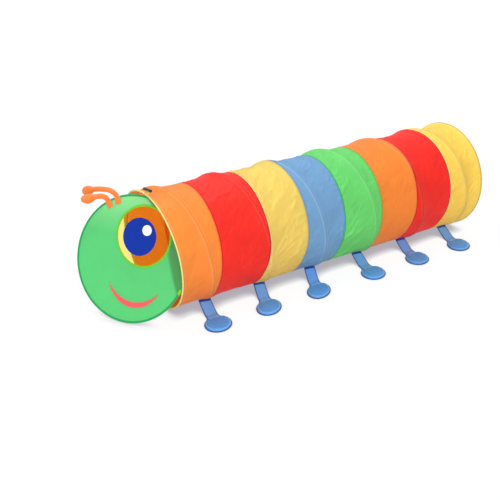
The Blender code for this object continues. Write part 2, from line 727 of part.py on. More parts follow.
def make_tab():
    """A webbing loop round the toggle's waist, with its tail sewn to the mouth's binding."""
    lift = (TAB_WIDTH / 2) * math.tan(abs(TOGGLE_TURN))
    inner = TOGGLE_WAIST / math.cos(TOGGLE_TURN) + SEAT + lift
    outer = inner + TAB_WALL
    stem = math.asin(TAB_WALL / 2 / outer)
    outline = []
    for i in range(TAB_SIDES + 1):
        angle = -math.pi / 2 + stem + (2 * math.pi - 2 * stem) * i / TAB_SIDES
        outline.append((outer * math.cos(angle), TAB_RISE + outer * math.sin(angle)))
    outline += [(-TAB_WALL / 2, 0.0), (0.0, -TAB_WALL / 2), (TAB_WALL / 2, 0.0)]
    hole = circle(inner, TAB_SIDES, 0.0, TAB_RISE)
    item = plate("toggle_tab", [outline, hole], -TAB_WIDTH / 2, TAB_WIDTH / 2, cloth("toggle_tab", "yellow"))
    upright = Matrix(((1, 0, 0, 0), (0, 0, 1, 0), (0, 1, 0, 0), (0, 0, 0, 1)))
    item.data.transform(Matrix.Translation(toggle_base()) @ upright)
    item.data.flip_normals()
    return item


def flank(x, side):
    """Just off the fabric of the tube's lower flank, on the line where the straps are sewn on."""
    after = round(COLUMNS * 3 / 4 + side * LEG_COLUMN_ANGLE / STEP)
    radius = (fabric_radius(x, after - 1) + fabric_radius(x, after)) / 2
    reach = radius * FACET_SHARE + SEAT + LEG_NOSE
    return Vector((x, side * reach * math.sin(LEG_COLUMN_ANGLE),
                   AXIS_HEIGHT - reach * math.cos(LEG_COLUMN_ANGLE)))


def leg_hinge(index, side):
    return flank(FIRST_LEG + LEG_SPACING * index, side)


def leg_stations(height):
    """Along a leg from its hinge, at this height: distance, half width, underside, side seam and crown."""
    slope = (height - STRAP_WALL / 2) / STRAP_TOUCHDOWN
    half = STRAP_WIDTH / 2
    ankle = STRAP_REACH + FOOT_RADIUS - math.sqrt(FOOT_RADIUS ** 2 - half ** 2)
    rows = [(0.0, half, height - LEG_NOSE, height, height + LEG_NOSE)]
    for s in (STRAP_TOUCHDOWN / 2, STRAP_TOUCHDOWN):
        middle = height - slope * s
        rows.append((s, half, middle - STRAP_WALL / 2, middle, middle + STRAP_WALL / 2))
    centre = STRAP_REACH + FOOT_RADIUS
    for i in range(FOOT_STATIONS):
        share = i / (FOOT_STATIONS - 1)
        start = math.acos((ankle - centre) / FOOT_RADIUS)
        angle = start * (1 - share) + FOOT_TOE_ANGLE * share
        s = centre + FOOT_RADIUS * math.cos(angle)
        wide = FOOT_RADIUS * math.sin(angle)
        crown = FOOT_RIM + (FOOT_HEIGHT - FOOT_RIM) * math.sqrt(wide / FOOT_RADIUS)
        rows.append((s, wide, 0.0, FOOT_RIM, max(crown if i else STRAP_WALL, STRAP_WALL)))
    return rows


def make_leg(index, side):
    hinge = leg_hinge(index, side)
    lean = LEG_LEANS[index] / (STRAP_REACH + FOOT_RADIUS)
    sole, crown = LEG_SOLE_SHARE, LEG_CROWN_SHARE
    broad, tall = LEG_SHOULDER_SHARES
    sections = []
    for s, wide, low, seam, high in leg_stations(hinge.z):
        seam = min(seam, (low + high) / 2)
        shoulder = low + (high - low) * tall
        shape = [(-1, seam), (-sole, low), (sole, low), (1, seam), (broad, shoulder), (crown, high),
                 (-crown, high), (-broad, shoulder)]
        x, y = hinge.x - lean * s, hinge.y + side * s
        section = [Vector((x + wide * share, y, z)) for share, z in shape]
        if not sections:
            section = [flank(point.x, side) + Vector((0, 0, point.z - hinge.z)) for point in section]
        sections.append(section)
    name = "leg_%s_%d" % ("left" if side < 0 else "right", index + 1)
    return loft(name, sections, cloth(name, "leg_blue"), sharp=50)


def at(place):
    return Matrix.Translation(place)


def build():
    clear_scene()
    frame = new_empty("tunnel_frame", Matrix.Identity(4))
    root = new_empty("mouth_frame", Matrix.Identity(4), frame)
    sections = [root]
    for index in range(1, len(PANEL_LENGTHS)):
        place = Vector((seam_at(index, 0), 0, 0))
        sections.append(new_empty("section_%d_slide" % (index + 1), at(place), frame))
    tail = new_empty("tail_slide", at(Vector((TUNNEL_LENGTH, 0, 0))), frame)
    for index, section in enumerate(sections):
        attach(make_panel(index), section)

    points = coil_points()
    print("spring wire: pitch %.4f m, least gap to itself %.2f mm"
          % (PITCH, 1000 * least_gap(points, WIRE_RADIUS)))
    attach(wire_curve("spring_coil", points, WIRE_RADIUS), root)
    attach(make_casing(), root)
    attach(make_binding("mouth_binding", "pale_yellow", True), root)
    attach(make_binding("tail_binding", "yellow", False), tail)
    spare = STRAND_STEP / 2
    attach(make_ferrule("wire_ferrule_mouth", points[0], points[1], FERRULE_FROM_END, spare), root)
    attach(make_ferrule("wire_ferrule_tail", points[-1], points[-2], FERRULE_FROM_END, -spare), tail)

    turn = head_matrix()
    hinge = hinge_point()
    head = new_empty("head_hinge", Matrix.Translation(hinge) @ turn.to_3x3().to_4x4(), frame)
    for piece in make_head():
        attach(piece, head, turn)
    attach(make_hinge_tape(), head, turn)
    for side, given in ANTENNAE.items():
        attach(make_base_patch(side), head, turn)
        foot = turn @ antenna_base(given, ANTENNA_SEAM_DEPTH)
        antenna = new_empty("antenna_hinge_" + side,
                            Matrix.Translation(foot) @ turn.to_3x3().to_4x4(), head)
        attach(make_antenna(side), antenna, turn)

    toggle = new_empty("toggle_hinge", at(toggle_base()), frame)
    attach(make_toggle(), toggle)
    attach(make_tab(), toggle)

    for index in range(LEG_COUNT):
        for side in (-1, 1):
            place = leg_hinge(index, side)
            carrier = [k for k in range(len(sections)) if seam_at(k, 0) <= place.x][-1]
            name = "leg_hinge_%s_%d" % ("left" if side < 0 else "right", index + 1)
            attach(make_leg(index, side), new_empty(name, at(place), sections[carrier]))
    return frame


def world_corners():
    bpy.context.view_layer.update()
    graph = bpy.context.evaluated_depsgraph_get()
    low, high = Vector((1e9,) * 3), Vector((-1e9,) * 3)
    for item in bpy.data.objects:
        if item.type in {"MESH", "CURVE"}:
            seen = item.evaluated_get(graph)
            mesh = seen.to_mesh()
            for vertex in mesh.vertices:
                point = item.matrix_world @ vertex.co
                low = Vector(map(min, low, point))
                high = Vector(map(max, high, point))
            seen.to_mesh_clear()
    return low, high


def centre_on_floor(frame):
    """Puts the origin under the middle of the object."""
    low, high = world_corners()
    frame.location = (-(low.x + high.x) / 2, -(low.y + high.y) / 2, 0.0)
    bpy.context.view_layer.update()
    print("size %.4f x %.4f x %.4f m, lowest point %.5f" % (*(high - low), low.z))


def print_places():
    for item in bpy.data.objects:
        if item.type == "EMPTY":
            place = item.matrix_world.translation
            print("place %s %.6f %.6f %.6f" % (item.name, *place))


tunnel = build()
centre_on_floor(tunnel)
print_places()
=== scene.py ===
# Looks of the pop-up play tunnel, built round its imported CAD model.
# Lengths are metres in the part's frame: x along the tunnel from head to tail, z up.
import math
import bmesh
import bpy
import numpy as np
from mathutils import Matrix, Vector


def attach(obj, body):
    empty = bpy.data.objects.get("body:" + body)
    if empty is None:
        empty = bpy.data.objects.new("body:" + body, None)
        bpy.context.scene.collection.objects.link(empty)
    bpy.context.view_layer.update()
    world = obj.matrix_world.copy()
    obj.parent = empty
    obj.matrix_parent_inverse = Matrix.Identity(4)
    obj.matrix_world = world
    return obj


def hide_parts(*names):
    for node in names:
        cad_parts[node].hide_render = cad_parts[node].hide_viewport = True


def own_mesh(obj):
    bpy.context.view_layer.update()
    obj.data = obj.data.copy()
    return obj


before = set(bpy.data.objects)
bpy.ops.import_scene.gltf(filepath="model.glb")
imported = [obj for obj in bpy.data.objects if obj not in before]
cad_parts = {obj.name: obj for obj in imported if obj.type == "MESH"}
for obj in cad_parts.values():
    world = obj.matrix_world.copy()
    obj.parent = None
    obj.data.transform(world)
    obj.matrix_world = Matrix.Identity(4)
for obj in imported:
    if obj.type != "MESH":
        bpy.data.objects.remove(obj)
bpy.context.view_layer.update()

tau = 2 * math.pi

# Sizes that the CAD model has too. x counts from the plane of the mouth, and tubePoint() moves it to the frame.
tunnel = {
    "mouthX": -0.651506, "middleY": 0.001231,
    "panelLengths": [0.175, 0.214, 0.188, 0.185, 0.197, 0.192, 0.206, 0.184],
    "crest": 0.2405, "rim": 0.238896, "axis": 0.237943, "mouthLean": math.radians(4.4),
    "sag": 0.0145, "tent": 0.026, "crestHalf": 0.006, "belly": 0.5, "bellyRise": 0.9,
    "turns": 6, "startShare": 22.5 / 24, "leave": 1 / 24, "ease": 0.125, "ridgeFrom": 0.012, "ridgeRise": 0.025,
    "wireRadius": 0.00125, "loopRadius": 0.235746, "ridgeRadius": 0.23755,
    "outerStrand": 0.00315, "strandStep": 0.0031, "seat": 0.0003,
    "settle": 0.002557, "settleAngle": math.radians(14),    # how the round tube rests on the floor
    "flank": 0.0046, "flankAt": math.radians(56), "flankSpread": math.radians(17),    # room for the lifted feet
    "flankEnds": (0.055, 0.012), "flankEase": (0.05, 0.035),    # where that room starts at the mouth and the tail
}
tunnelLength = sum(tunnel["panelLengths"])
seams = [sum(tunnel["panelLengths"][:k]) for k in range(9)]
innerStrand = tunnel["outerStrand"] + tunnel["strandStep"]


def smoothStep(share):
    share = np.clip(share, 0.0, 1.0)
    return share * share * (3 - 2 * share)


def roundSteps(count):
    return tau * np.arange(count) / count


def skins(outer, inner):
    # Rows of a closed cloth: along its outer skin and back along its inner one
    return np.concatenate([outer, inner[:, ::-1]], 1)


def outwards(angle):
    return np.stack([0 * angle, np.cos(angle), np.sin(angle)], -1)


def mouthPlane(angle):
    return -math.tan(tunnel["mouthLean"]) * tunnel["crest"] * np.sin(angle)


def tubePoint(x, radius, angle):
    # A place on the tube, which sinks a little where it rests and draws in at its lower flanks
    fromLowest = np.abs((angle + 1.5 * math.pi) % tau - math.pi)
    radius = radius - tunnel["settle"] * np.exp(-(fromLowest / tunnel["settleAngle"]) ** 2)
    (mouthEnd, tailEnd), (mouthEase, tailEase) = tunnel["flankEnds"], tunnel["flankEase"]
    between = smoothStep((x - mouthEnd) / mouthEase) * smoothStep((tunnelLength - tailEnd - x) / tailEase)
    atFlank = np.exp(-((fromLowest - tunnel["flankAt"]) / tunnel["flankSpread"]) ** 2)
    radius = radius - tunnel["flank"] * between * atFlank
    return np.stack(np.broadcast_arrays(x + tunnel["mouthX"], radius * np.cos(angle) + tunnel["middleY"],
                                        tunnel["axis"] + radius * np.sin(angle)), -1)


wireStart = mouthPlane(tau * (tunnel["startShare"] + tunnel["leave"])) + innerStrand
wireEnd = tunnelLength - innerStrand
pitch = (wireEnd - wireStart) / (tunnel["turns"] - 2 * tunnel["leave"] - tunnel["ease"])


def wireAdvance(turns):
    # pitches run since the wire left the mouth's loop, easing in and out
    run, ease = tunnel["turns"] - 2 * tunnel["leave"], tunnel["ease"]
    turns = np.clip(np.asarray(turns, float) - tunnel["leave"], 0.0, run)
    return np.where(turns < ease, turns ** 2 / (2 * ease),
                    np.where(turns > run - ease, run - ease - (run - turns) ** 2 / (2 * ease), turns - ease / 2))


def ridgeShare(turns):
    advance = wireAdvance(turns)
    nearest = pitch * np.minimum(advance, wireAdvance(tunnel["turns"]) - advance)
    return smoothStep((nearest - tunnel["ridgeFrom"] + innerStrand - tunnel["seat"]) / tunnel["ridgeRise"])


def wirePlace(turns):
    turns = np.asarray(turns, float)
    inLoop = mouthPlane(tau * (tunnel["startShare"] + turns)) + innerStrand
    x = np.where(turns < tunnel["leave"], inLoop, wireStart + pitch * wireAdvance(turns))
    return x, tunnel["loopRadius"] + (tunnel["ridgeRadius"] - tunnel["loopRadius"]) * ridgeShare(turns)


def tent(distance):
    # how far the cloth has fallen from a ridge to its full sag: rounded on the wire, steep beside it
    distance = np.maximum(distance, 0.0)
    return 1 - np.exp(-distance ** 2 / (distance + tunnel["crestHalf"]) / tunnel["tent"])


def clothLine(angle, x):
    # at places on the tube: the cloth's radius, its distance from the wire, and its share between two turns
    angle, x = np.broadcast_arrays(np.asarray(angle, float), x)
    share = (angle / tau - tunnel["startShare"]) % 1.0
    turns = share[..., None] + np.arange(tunnel["turns"])
    step = tunnel["strandStep"] * share
    first, last = mouthPlane(angle) + tunnel["outerStrand"] + step, tunnelLength - innerStrand + step
    ridges = np.concatenate([first[..., None], wirePlace(turns)[0], last[..., None]], -1)
    rise = (tunnel["crest"] - tunnel["rim"]) * ridgeShare(turns)
    radii = tunnel["rim"] + np.concatenate([0 * first[..., None], rise, 0 * first[..., None]], -1)
    low = np.clip((x[..., None] > ridges).sum(-1) - 1, 0, tunnel["turns"])[..., None]
    lowX, highX = (np.take_along_axis(ridges, low + k, -1)[..., 0] for k in (0, 1))
    lowRadius, highRadius = (np.take_along_axis(radii, low + k, -1)[..., 0] for k in (0, 1))
    between = np.clip((x - lowX) / (highX - lowX), 0.0, 1.0)
    drawn = tunnel["sag"] * tent(x - lowX) * tent(highX - x)
    upwards = smoothStep((np.sin(angle) + 1) / tunnel["bellyRise"])
    drawn = drawn * (tunnel["belly"] + (1 - tunnel["belly"]) * upwards)
    radius = lowRadius + (highRadius - lowRadius) * smoothStep(between) - drawn
    fromWire = np.minimum(np.abs(x - lowX), np.abs(highX - x))
    return radius, fromWire, between


# Materials


def linear(colour):
    values = [int(colour[k:k + 2], 16) / 255 for k in (1, 3, 5)]
    return [v / 12.92 if v <= 0.04045 else ((v + 0.055) / 1.055) ** 2.4 for v in values] + [1.0]


noiseRange = {1: 0.3, 2: 0.7}    # where nearly all values of a noise texture lie, for a Map Range node


def addNode(tree, kind, inputs=None, **settings):
    # A node with its settings. An input takes a value, a socket, or a node, whose first output is meant.
    tree = getattr(tree, "node_tree", tree)
    node = tree.nodes.new(kind)
    for name, value in settings.items():
        setattr(node, name, value)
    for name, value in (inputs or {}).items():
        if isinstance(value, bpy.types.Node):
            value = value.outputs[0]
        if isinstance(value, bpy.types.NodeSocket):
            tree.links.new(value, node.inputs[name])
        else:
            node.inputs[name].default_value = value
    return node


def newMaterial(name, colour):
    material = bpy.data.materials.new(name)
    material.use_nodes = True
    material.node_tree.nodes.clear()
    material.diffuse_color = linear(colour)
    return material


def finishMaterial(material, surface):
    addNode(material, "ShaderNodeOutputMaterial", {"Surface": surface})
    return material


def wovenCloth(name, look):
    # Taffeta and tapes woven of filament polyester: a soft even sheen, a fine plain weave, light shining through.
    # Real threads are 0.15 mm apart; they are drawn 1.4 mm apart so that the weave shows at all.
    material = newMaterial(name, look["colour"])
    weave = addNode(material, "ShaderNodeUVMap", uv_map="weave")
    place = addNode(material, "ShaderNodeTexCoord").outputs["Object"]
    waveLength = 0.314    # of a wave texture of scale 1
    warp, weft = (addNode(material, "ShaderNodeTexWave", {
        "Vector": weave, "Scale": waveLength / look.get("thread", 0.0014)}, bands_direction=way) for way in "XY")
    threads = addNode(material, "ShaderNodeMath", {0: warp.outputs["Fac"], 1: weft.outputs["Fac"]},
                      operation="MULTIPLY")
    # uneven dye in clouds of 110 mm, and a nap of 6 mm, coarse enough to show
    cloud = addNode(material, "ShaderNodeTexNoise", {"Vector": place, "Scale": 9.0, "Detail": 3.0})
    fine = addNode(material, "ShaderNodeTexNoise", {"Vector": place, "Scale": 160.0, "Detail": 2.0})
    mottle = look.get("mottle", 0.05)
    shade = addNode(material, "ShaderNodeMapRange", {"Value": cloud.outputs["Fac"], **noiseRange,
                                                     3: 1 - mottle, 4: 1 + mottle}).outputs[0]
    # painted shade and light from the stored crease relief: valleys painted darker, crests painted lighter
    if look.get("creaseShading"):
        crease = addNode(material, "ShaderNodeAttribute", attribute_name="crease")
        shade = addNode(material, "ShaderNodeMath", {0: crease.outputs["Fac"], 1: look["creaseShading"], 2: shade},
                        operation="MULTIPLY_ADD").outputs[0]
    colour = addNode(material, "ShaderNodeRGB").outputs[0]
    colour.default_value = linear(look["colour"])
    for band in look.get("bands", []):    # strips of another colour, measured from a stored distance: lines along the tube's ridges and seams, and painted shade and painted highlights on the head and the legs
        far = addNode(material, "ShaderNodeAttribute", attribute_name=band["from"])
        far = addNode(material, "ShaderNodeMath", {0: far.outputs["Fac"], 1: 0.0},
                      operation="ABSOLUTE" if band.get("both") else "ADD")
        inside = addNode(material, "ShaderNodeMapRange", {
            "Value": far, 1: band["width"], 2: band["width"] + band.get("soft", 0.0015), 3: 1.0, 4: 0.0})
        colour = addNode(material, "ShaderNodeMix", {0: inside, 6: colour, 7: linear(band["colour"])},
                         data_type="RGBA").outputs[2]
    shaded = addNode(material, "ShaderNodeVectorMath", {0: colour, "Scale": shade}, operation="SCALE")
    wear = addNode(material, "ShaderNodeMath", {0: fine.outputs["Fac"], 1: look.get("fuzz", 0.5), 2: threads},
                   operation="MULTIPLY_ADD")
    if look.get("crumple"):    # what handling leaves in thin cloth: a dense soft crumple, 10 to 20 mm across
        crumple = addNode(material, "ShaderNodeTexNoise", {"Vector": place, "Scale": 55.0, "Detail": 3.0,
                                                           "Roughness": 0.6, "Distortion": 0.8})
        wear = addNode(material, "ShaderNodeMath", {0: crumple.outputs["Fac"], 1: look["crumple"], 2: wear},
                       operation="MULTIPLY_ADD")
    bump = addNode(material, "ShaderNodeBump", {"Height": wear, "Strength": look.get("relief", 0.25),
                                                "Distance": 0.0003})
    surface = addNode(material, "ShaderNodeBsdfPrincipled", {
        "Base Color": shaded, "Roughness": look.get("roughness", 0.55),
        "Specular IOR Level": look.get("specular", 0.35), "IOR": 1.5,
        "Sheen Weight": look.get("sheen", 0.15), "Sheen Roughness": 0.4, "Normal": bump})
    if not look.get("through"):
        return finishMaterial(material, surface)
    passing, share = shaded, look["through"]
    if look.get("lining"):    # the inner skin passes most light, so that both skins pass what one cloth does
        lining = addNode(material, "ShaderNodeAttribute", attribute_name="lining").outputs["Fac"]
        share = addNode(material, "ShaderNodeMath", {0: lining, 1: look["lining"] - look["through"],
                                                     2: look["through"]}, operation="MULTIPLY_ADD")
        passing = addNode(material, "ShaderNodeMix", {0: lining, 6: passing, 7: linear("#FFF8E8")},
                          data_type="RGBA").outputs[2]
    glow = addNode(material, "ShaderNodeBsdfTranslucent", {"Color": passing, "Normal": bump})
    return finishMaterial(material, addNode(material, "ShaderNodeMixShader", {0: share, 1: surface, 2: glow}))


def plainSurface(name, look):
    # Smooth or grained surfaces: steel, moulded plastic, printed vinyl, sewing thread
    material = newMaterial(name, look["colour"])
    place = addNode(material, "ShaderNodeTexCoord").outputs["Object"]
    grain = addNode(material, "ShaderNodeTexNoise", {"Vector": place, "Scale": look["grain"], "Detail": 3.0})
    grain, roughness, uneven = grain.outputs["Fac"], look["roughness"], look.get("uneven", 0.05)
    rough = addNode(material, "ShaderNodeMapRange", {"Value": grain, **noiseRange,
                                                     3: roughness - uneven, 4: roughness + uneven})
    tone = addNode(material, "ShaderNodeMapRange", {"Value": grain, **noiseRange, 3: 0.95, 4: 1.05})
    base = addNode(material, "ShaderNodeVectorMath", {0: linear(look["colour"])[:3], "Scale": tone},
                   operation="SCALE")
    bump = addNode(material, "ShaderNodeBump", {"Height": grain, "Distance": 0.0002,
                                                "Strength": look.get("relief", 0.1)})
    return finishMaterial(material, addNode(material, "ShaderNodeBsdfPrincipled", {
        "Base Color": base, "Roughness": rough, "Metallic": look.get("metallic", 0.0),
        "Specular IOR Level": look.get("specular", 0.5), "Sheen Weight": look.get("sheen", 0.0), "Normal": bump}))


def clearFilm(name, look):
    # Calendered soft vinyl, tinted amber: it tints what lies behind it and shows soft, slightly wavy reflections
    material = newMaterial(name, look["colour"])
    place = addNode(material, "ShaderNodeTexCoord").outputs["Object"]
    waves = addNode(material, "ShaderNodeTexNoise", {"Vector": place, "Scale": 14.0, "Detail": 2.0})    # 70 mm
    bump = addNode(material, "ShaderNodeBump", {"Height": waves.outputs["Fac"], "Distance": 0.002, "Strength": 0.25})
    clear = addNode(material, "ShaderNodeBsdfTransparent", {"Color": linear(look["colour"])})
    gloss = addNode(material, "ShaderNodeBsdfPrincipled", {
        "Base Color": linear(look["body"]), "Roughness": look["roughness"], "IOR": 1.5, "Normal": bump})
    facing = addNode(material, "ShaderNodeFresnel", {"IOR": 1.45, "Normal": bump})
    share = addNode(material, "ShaderNodeMath", {0: facing, 1: look["haze"]}, operation="ADD", use_clamp=True)
    return finishMaterial(material, addNode(material, "ShaderNodeMixShader", {0: share, 1: clear, 2: gloss}))


# Mesh making


def meshObject(name, points, faces, material, uv=None, values=None, sharp=50, recalc=False, merge=0.0):
    mesh = bpy.data.meshes.new(name)
    mesh.from_pydata(np.asarray(points).tolist(), [], faces)
    if uv is not None:
        mesh.uv_layers.new(name="weave").data.foreach_set("uv", np.asarray(uv, "f").ravel())
    for label, data in (values or {}).items():
        mesh.attributes.new(label, "FLOAT", "POINT").data.foreach_set("value", np.asarray(data, "f").ravel())
    if recalc or merge:
        work = bmesh.new()
        work.from_mesh(mesh)
        if merge:
            bmesh.ops.remove_doubles(work, verts=work.verts, dist=merge)
        bmesh.ops.recalc_face_normals(work, faces=work.faces)
        work.to_mesh(mesh)
        work.free()
    mesh.materials.append(material)
    mesh.shade_smooth()
    mesh.set_sharp_from_angle(angle=math.radians(sharp))
    piece = bpy.data.objects.new(name, mesh)
    bpy.context.collection.objects.link(piece)
    return piece


def gridObject(name, grid, material, wrapAlong=False, wrapAcross=True, caps=False, uv=None, values=None,
               sharp=50, recalc=True, merge=0.0):
    # Skin over a grid of points: sections along it, points across each. UVs are lengths in metres.
    along, across = grid.shape[:2]
    points = grid.reshape(-1, 3)
    i, j = np.meshgrid(np.arange(along if wrapAlong else along - 1), np.arange(across if wrapAcross else across - 1),
                       indexing="ij")
    nextI, nextJ = (i + 1) % along, (j + 1) % across
    faces = np.stack([i * across + j, nextI * across + j, nextI * across + nextJ, i * across + nextJ], -1)
    faces = faces.reshape(-1, 4).tolist()
    if uv is None:
        stepsAlong = np.linalg.norm(np.roll(grid, -1, 0) - grid, axis=2).mean(1)
        stepsAcross = np.linalg.norm(np.roll(grid, -1, 1) - grid, axis=2).max(0)
        uv = np.stack(np.meshgrid(np.r_[0, np.cumsum(stepsAlong)], np.r_[0, np.cumsum(stepsAcross)],
                                  indexing="ij"), -1)
    corners = np.stack([uv[i, j], uv[i + 1, j], uv[i + 1, j + 1], uv[i, j + 1]], 2).reshape(-1, 2)
    if caps:
        faces += [list(range(across))[::-1], list(range((along - 1) * across, along * across))]
        corners = np.r_[corners, np.zeros((2 * across, 2))]
    return meshObject(name, points, faces, material, corners, values, sharp, recalc, merge)


# Geometry Nodes trees: a round cord along a path, and stitches along a path


def newTree(name, sizes):
    # Named inputs for the sizes and the material. The tree starts with the curve along the given edges.
    tree = bpy.data.node_groups.new(name, "GeometryNodeTree")
    socket = tree.interface.new_socket
    socket("Geometry", in_out="INPUT", socket_type="NodeSocketGeometry")
    for label, value in sizes.items():
        kind = "NodeSocketInt" if isinstance(value, int) else "NodeSocketFloat"
        socket(label, in_out="INPUT", socket_type=kind).default_value = value
    socket("Material", in_out="INPUT", socket_type="NodeSocketMaterial")
    socket("Geometry", in_out="OUTPUT", socket_type="NodeSocketGeometry")
    given = addNode(tree, "NodeGroupInput").outputs
    return tree, given, addNode(tree, "GeometryNodeMeshToCurve", {"Mesh": given["Geometry"]})


def finishTree(tree, given, shape):
    smooth = addNode(tree, "GeometryNodeSetShadeSmooth", {"Geometry": shape})
    real = addNode(tree, "GeometryNodeRealizeInstances", {"Geometry": smooth})
    painted = addNode(tree, "GeometryNodeSetMaterial", {"Geometry": real, "Material": given["Material"]})
    addNode(tree, "NodeGroupOutput", {"Geometry": painted})
    return tree


def cordTree():
    tree, given, path = newTree("roundCord", {"Radius": 0.001, "Sides": 8})
    ring = addNode(tree, "GeometryNodeCurvePrimitiveCircle", {"Resolution": given["Sides"], "Radius": given["Radius"]})
    return finishTree(tree, given, addNode(tree, "GeometryNodeCurveToMesh", {
        "Curve": path, "Profile Curve": ring, "Fill Caps": True}))


def stitchTree():
    # One long bead of thread at each step of the path, upright on the cloth and turned by the slant
    tree, given, path = newTree("stitchRun", {"Pitch": 0.005, "Length": 0.0035, "Thickness": 0.0008, "Slant": 0.0})
    spaced = addNode(tree, "GeometryNodeResampleCurve", {"Curve": path, "Length": given["Pitch"]}, mode="LENGTH")
    tangent = addNode(tree, "GeometryNodeInputTangent")
    outward = addNode(tree, "GeometryNodeInputNamedAttribute", {"Name": "outward"}, data_type="FLOAT_VECTOR")
    along = addNode(tree, "FunctionNodeAlignRotationToVector", {"Vector": tangent}, axis="X")
    upright = addNode(tree, "FunctionNodeAlignRotationToVector", {"Rotation": along, "Vector": outward},
                      axis="Z", pivot_axis="X")
    slant = addNode(tree, "ShaderNodeCombineXYZ", {"Z": given["Slant"]})
    turned = addNode(tree, "FunctionNodeRotateRotation", {"Rotation": upright, "Rotate By": slant},
                     rotation_space="LOCAL")
    half, thin = (addNode(tree, "ShaderNodeMath", {0: given[label], 1: 0.5}, operation="MULTIPLY")
                  for label in ("Length", "Thickness"))
    size = addNode(tree, "ShaderNodeCombineXYZ", {"X": half, "Y": thin, "Z": thin})
    bead = addNode(tree, "GeometryNodeMeshIcoSphere", {"Radius": 1.0, "Subdivisions": 1})
    return finishTree(tree, given, addNode(tree, "GeometryNodeInstanceOnPoints", {
        "Points": spaced, "Instance": bead, "Rotation": turned, "Scale": size}))


cordNodes, stitchNodes = cordTree(), stitchTree()


def grow(name, lines, tree, values, closed=False, outward=None):
    # Runs a tree along lines of points and keeps the result as a plain mesh
    mesh = bpy.data.meshes.new(name + "_path")
    points, edges = [], []
    for line in lines:
        first, count = len(points), len(line)
        points += np.asarray(line).tolist()
        edges += [(first + k, first + k + 1) for k in range(count - 1)]
        if closed:
            edges.append((first + count - 1, first))
    mesh.from_pydata(points, edges, [])
    if outward is not None:
        up = mesh.attributes.new("outward", "FLOAT_VECTOR", "POINT")
        up.data.foreach_set("vector", np.concatenate([np.asarray(line) for line in outward]).astype("f").ravel())
    source = bpy.data.objects.new(name + "_path", mesh)
    bpy.context.collection.objects.link(source)
    modifier = source.modifiers.new("run", "NODES")
    modifier.node_group = tree
    for item in tree.interface.items_tree:
        if item.in_out == "INPUT" and item.name in values:
            modifier[item.identifier] = values[item.name]
    graph = bpy.context.evaluated_depsgraph_get()
    grown = bpy.data.meshes.new_from_object(source.evaluated_get(graph), depsgraph=graph)
    grown.name = name
    piece = bpy.data.objects.new(name, grown)
    bpy.context.collection.objects.link(piece)
    bpy.data.objects.remove(source)
    return piece


def fold(piece):
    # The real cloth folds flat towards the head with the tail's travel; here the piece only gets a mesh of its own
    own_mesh(piece)


def thread(name, colour):
    # Spun polyester sewing thread: matt, a little fuzzy
    return plainSurface(name, {"colour": colour, "roughness": 0.75, "grain": 900.0, "sheen": 0.3, "relief": 0.3})


def sew(name, lines, outward, material, pitch=0.0055, length=0.0042, thickness=0.0008, slant=0.0):
    # Stitches along each line, upright on the cloth by the outward directions of its points
    return grow(name, lines, stitchNodes, {"Pitch": pitch, "Length": length, "Thickness": thickness, "Slant": slant,
                                           "Material": material}, outward=outward)


def assign(piece, body, slot, *nodes, foldAt=None):
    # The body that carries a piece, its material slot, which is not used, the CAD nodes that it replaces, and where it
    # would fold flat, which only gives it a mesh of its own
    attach(piece, body)
    if nodes:
        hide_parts(*nodes)
    if foldAt is not None:
        fold(piece)
    return piece


print("tools ready")

# Panels of the tube

panelKeys = ("colour", "band", "thread", "startEdge", "endEdge", "crease", "gather", "seed")
panelLooks = {    # in order from the mouth
    "panel_1_orange": ("#FF9A42", "#FFB468", "#E9772B", "#FF9A42", "#FA8636", 0.0010, (0.0003, 0.0004), 11),
    "panel_2_red": ("#FB342A", "#FC4E42", "#C9201C", "#D61F1C", "#D61F1C", 0.0026, (0.0004, 0.0007), 23),
    "panel_3_yellow": ("#F6DE72", "#FBEA96", "#D9BA4A", "#FBEFA6", "#E8C95A", 0.0026, (0.0009, 0.0006), 37),
    "panel_4_blue": ("#7EB2E2", "#A2CBEE", "#5A92CC", "#6CA3DA", "#6CA3DA", 0.0021, (0.0006, 0.0013), 41),
    "panel_5_green": ("#74E67C", "#98F09A", "#3FBE50", "#35CF45", "#4ACC5A", 0.0023, (0.0013, 0.0009), 53),
    "panel_6_orange": ("#FF9840", "#FFB062", "#E9772B", "#FA8636", "#FA8636", 0.0012, (0.0006, 0.0005), 61),
    "panel_7_red": ("#FA3229", "#FC5648", "#C9201C", "#D61F1C", "#D61F1C", 0.0016, (0.0005, 0.0005), 71),
    "panel_8_yellow": ("#FCE064", "#FEEC96", "#DDB93A", "#FBEFA6", "#F6C832", 0.0015, (0.0005, 0.0004), 83),
}
clothMake = {"columns": 480, "rowStep": 0.0029, "thickness": 0.0006, "bandHalf": 0.0092, "bandLift": 0.0005,
             "seamHalf": 0.004, "seamLift": 0.0005, "gatherReach": 0.016, "gatherWaves": 61,
             "creasesPerMetre": 2100, "slant": (48, 15),    # degrees, and their spread
             "creaseReach": (0.014, 0.046), "creaseWidth": (0.0030, 0.0066), "creaseSize": (0.3, 1.0), "raised": 0.7,
             "dip": -0.8, "curl": 4.0, "creaseFade": 0.012, "foldFade": 0.035, "endGap": 0.0011, "seamGap": 0.00015,
             "bandSoft": 0.003, "endLift": 0.3, "usualWidth": 0.005, "creaseCut": 2.2, "tuckFade": 0.01,
             "foldBend": 1.6, "foldPatch": 0.7, "foldMean": 0.3, "foldSize": 0.7,
             "gatherBend": 2.5, "gatherRise": 0.006,
             "folds": ((7, 1.15, 1.0), (12, 0.9, 0.6)),    # waves round the tube, slope and share of the long folds
             "tucked": 0.008, "casingRow": 0.0078, "seamRow": 0.0025}
panels = [dict(zip(panelKeys, look), node=node, slot=node.split("_")[2] + "_polyester")
          for node, look in panelLooks.items()]
for index, look in enumerate(panels):
    look["from"], look["length"] = seams[index], tunnel["panelLengths"][index]


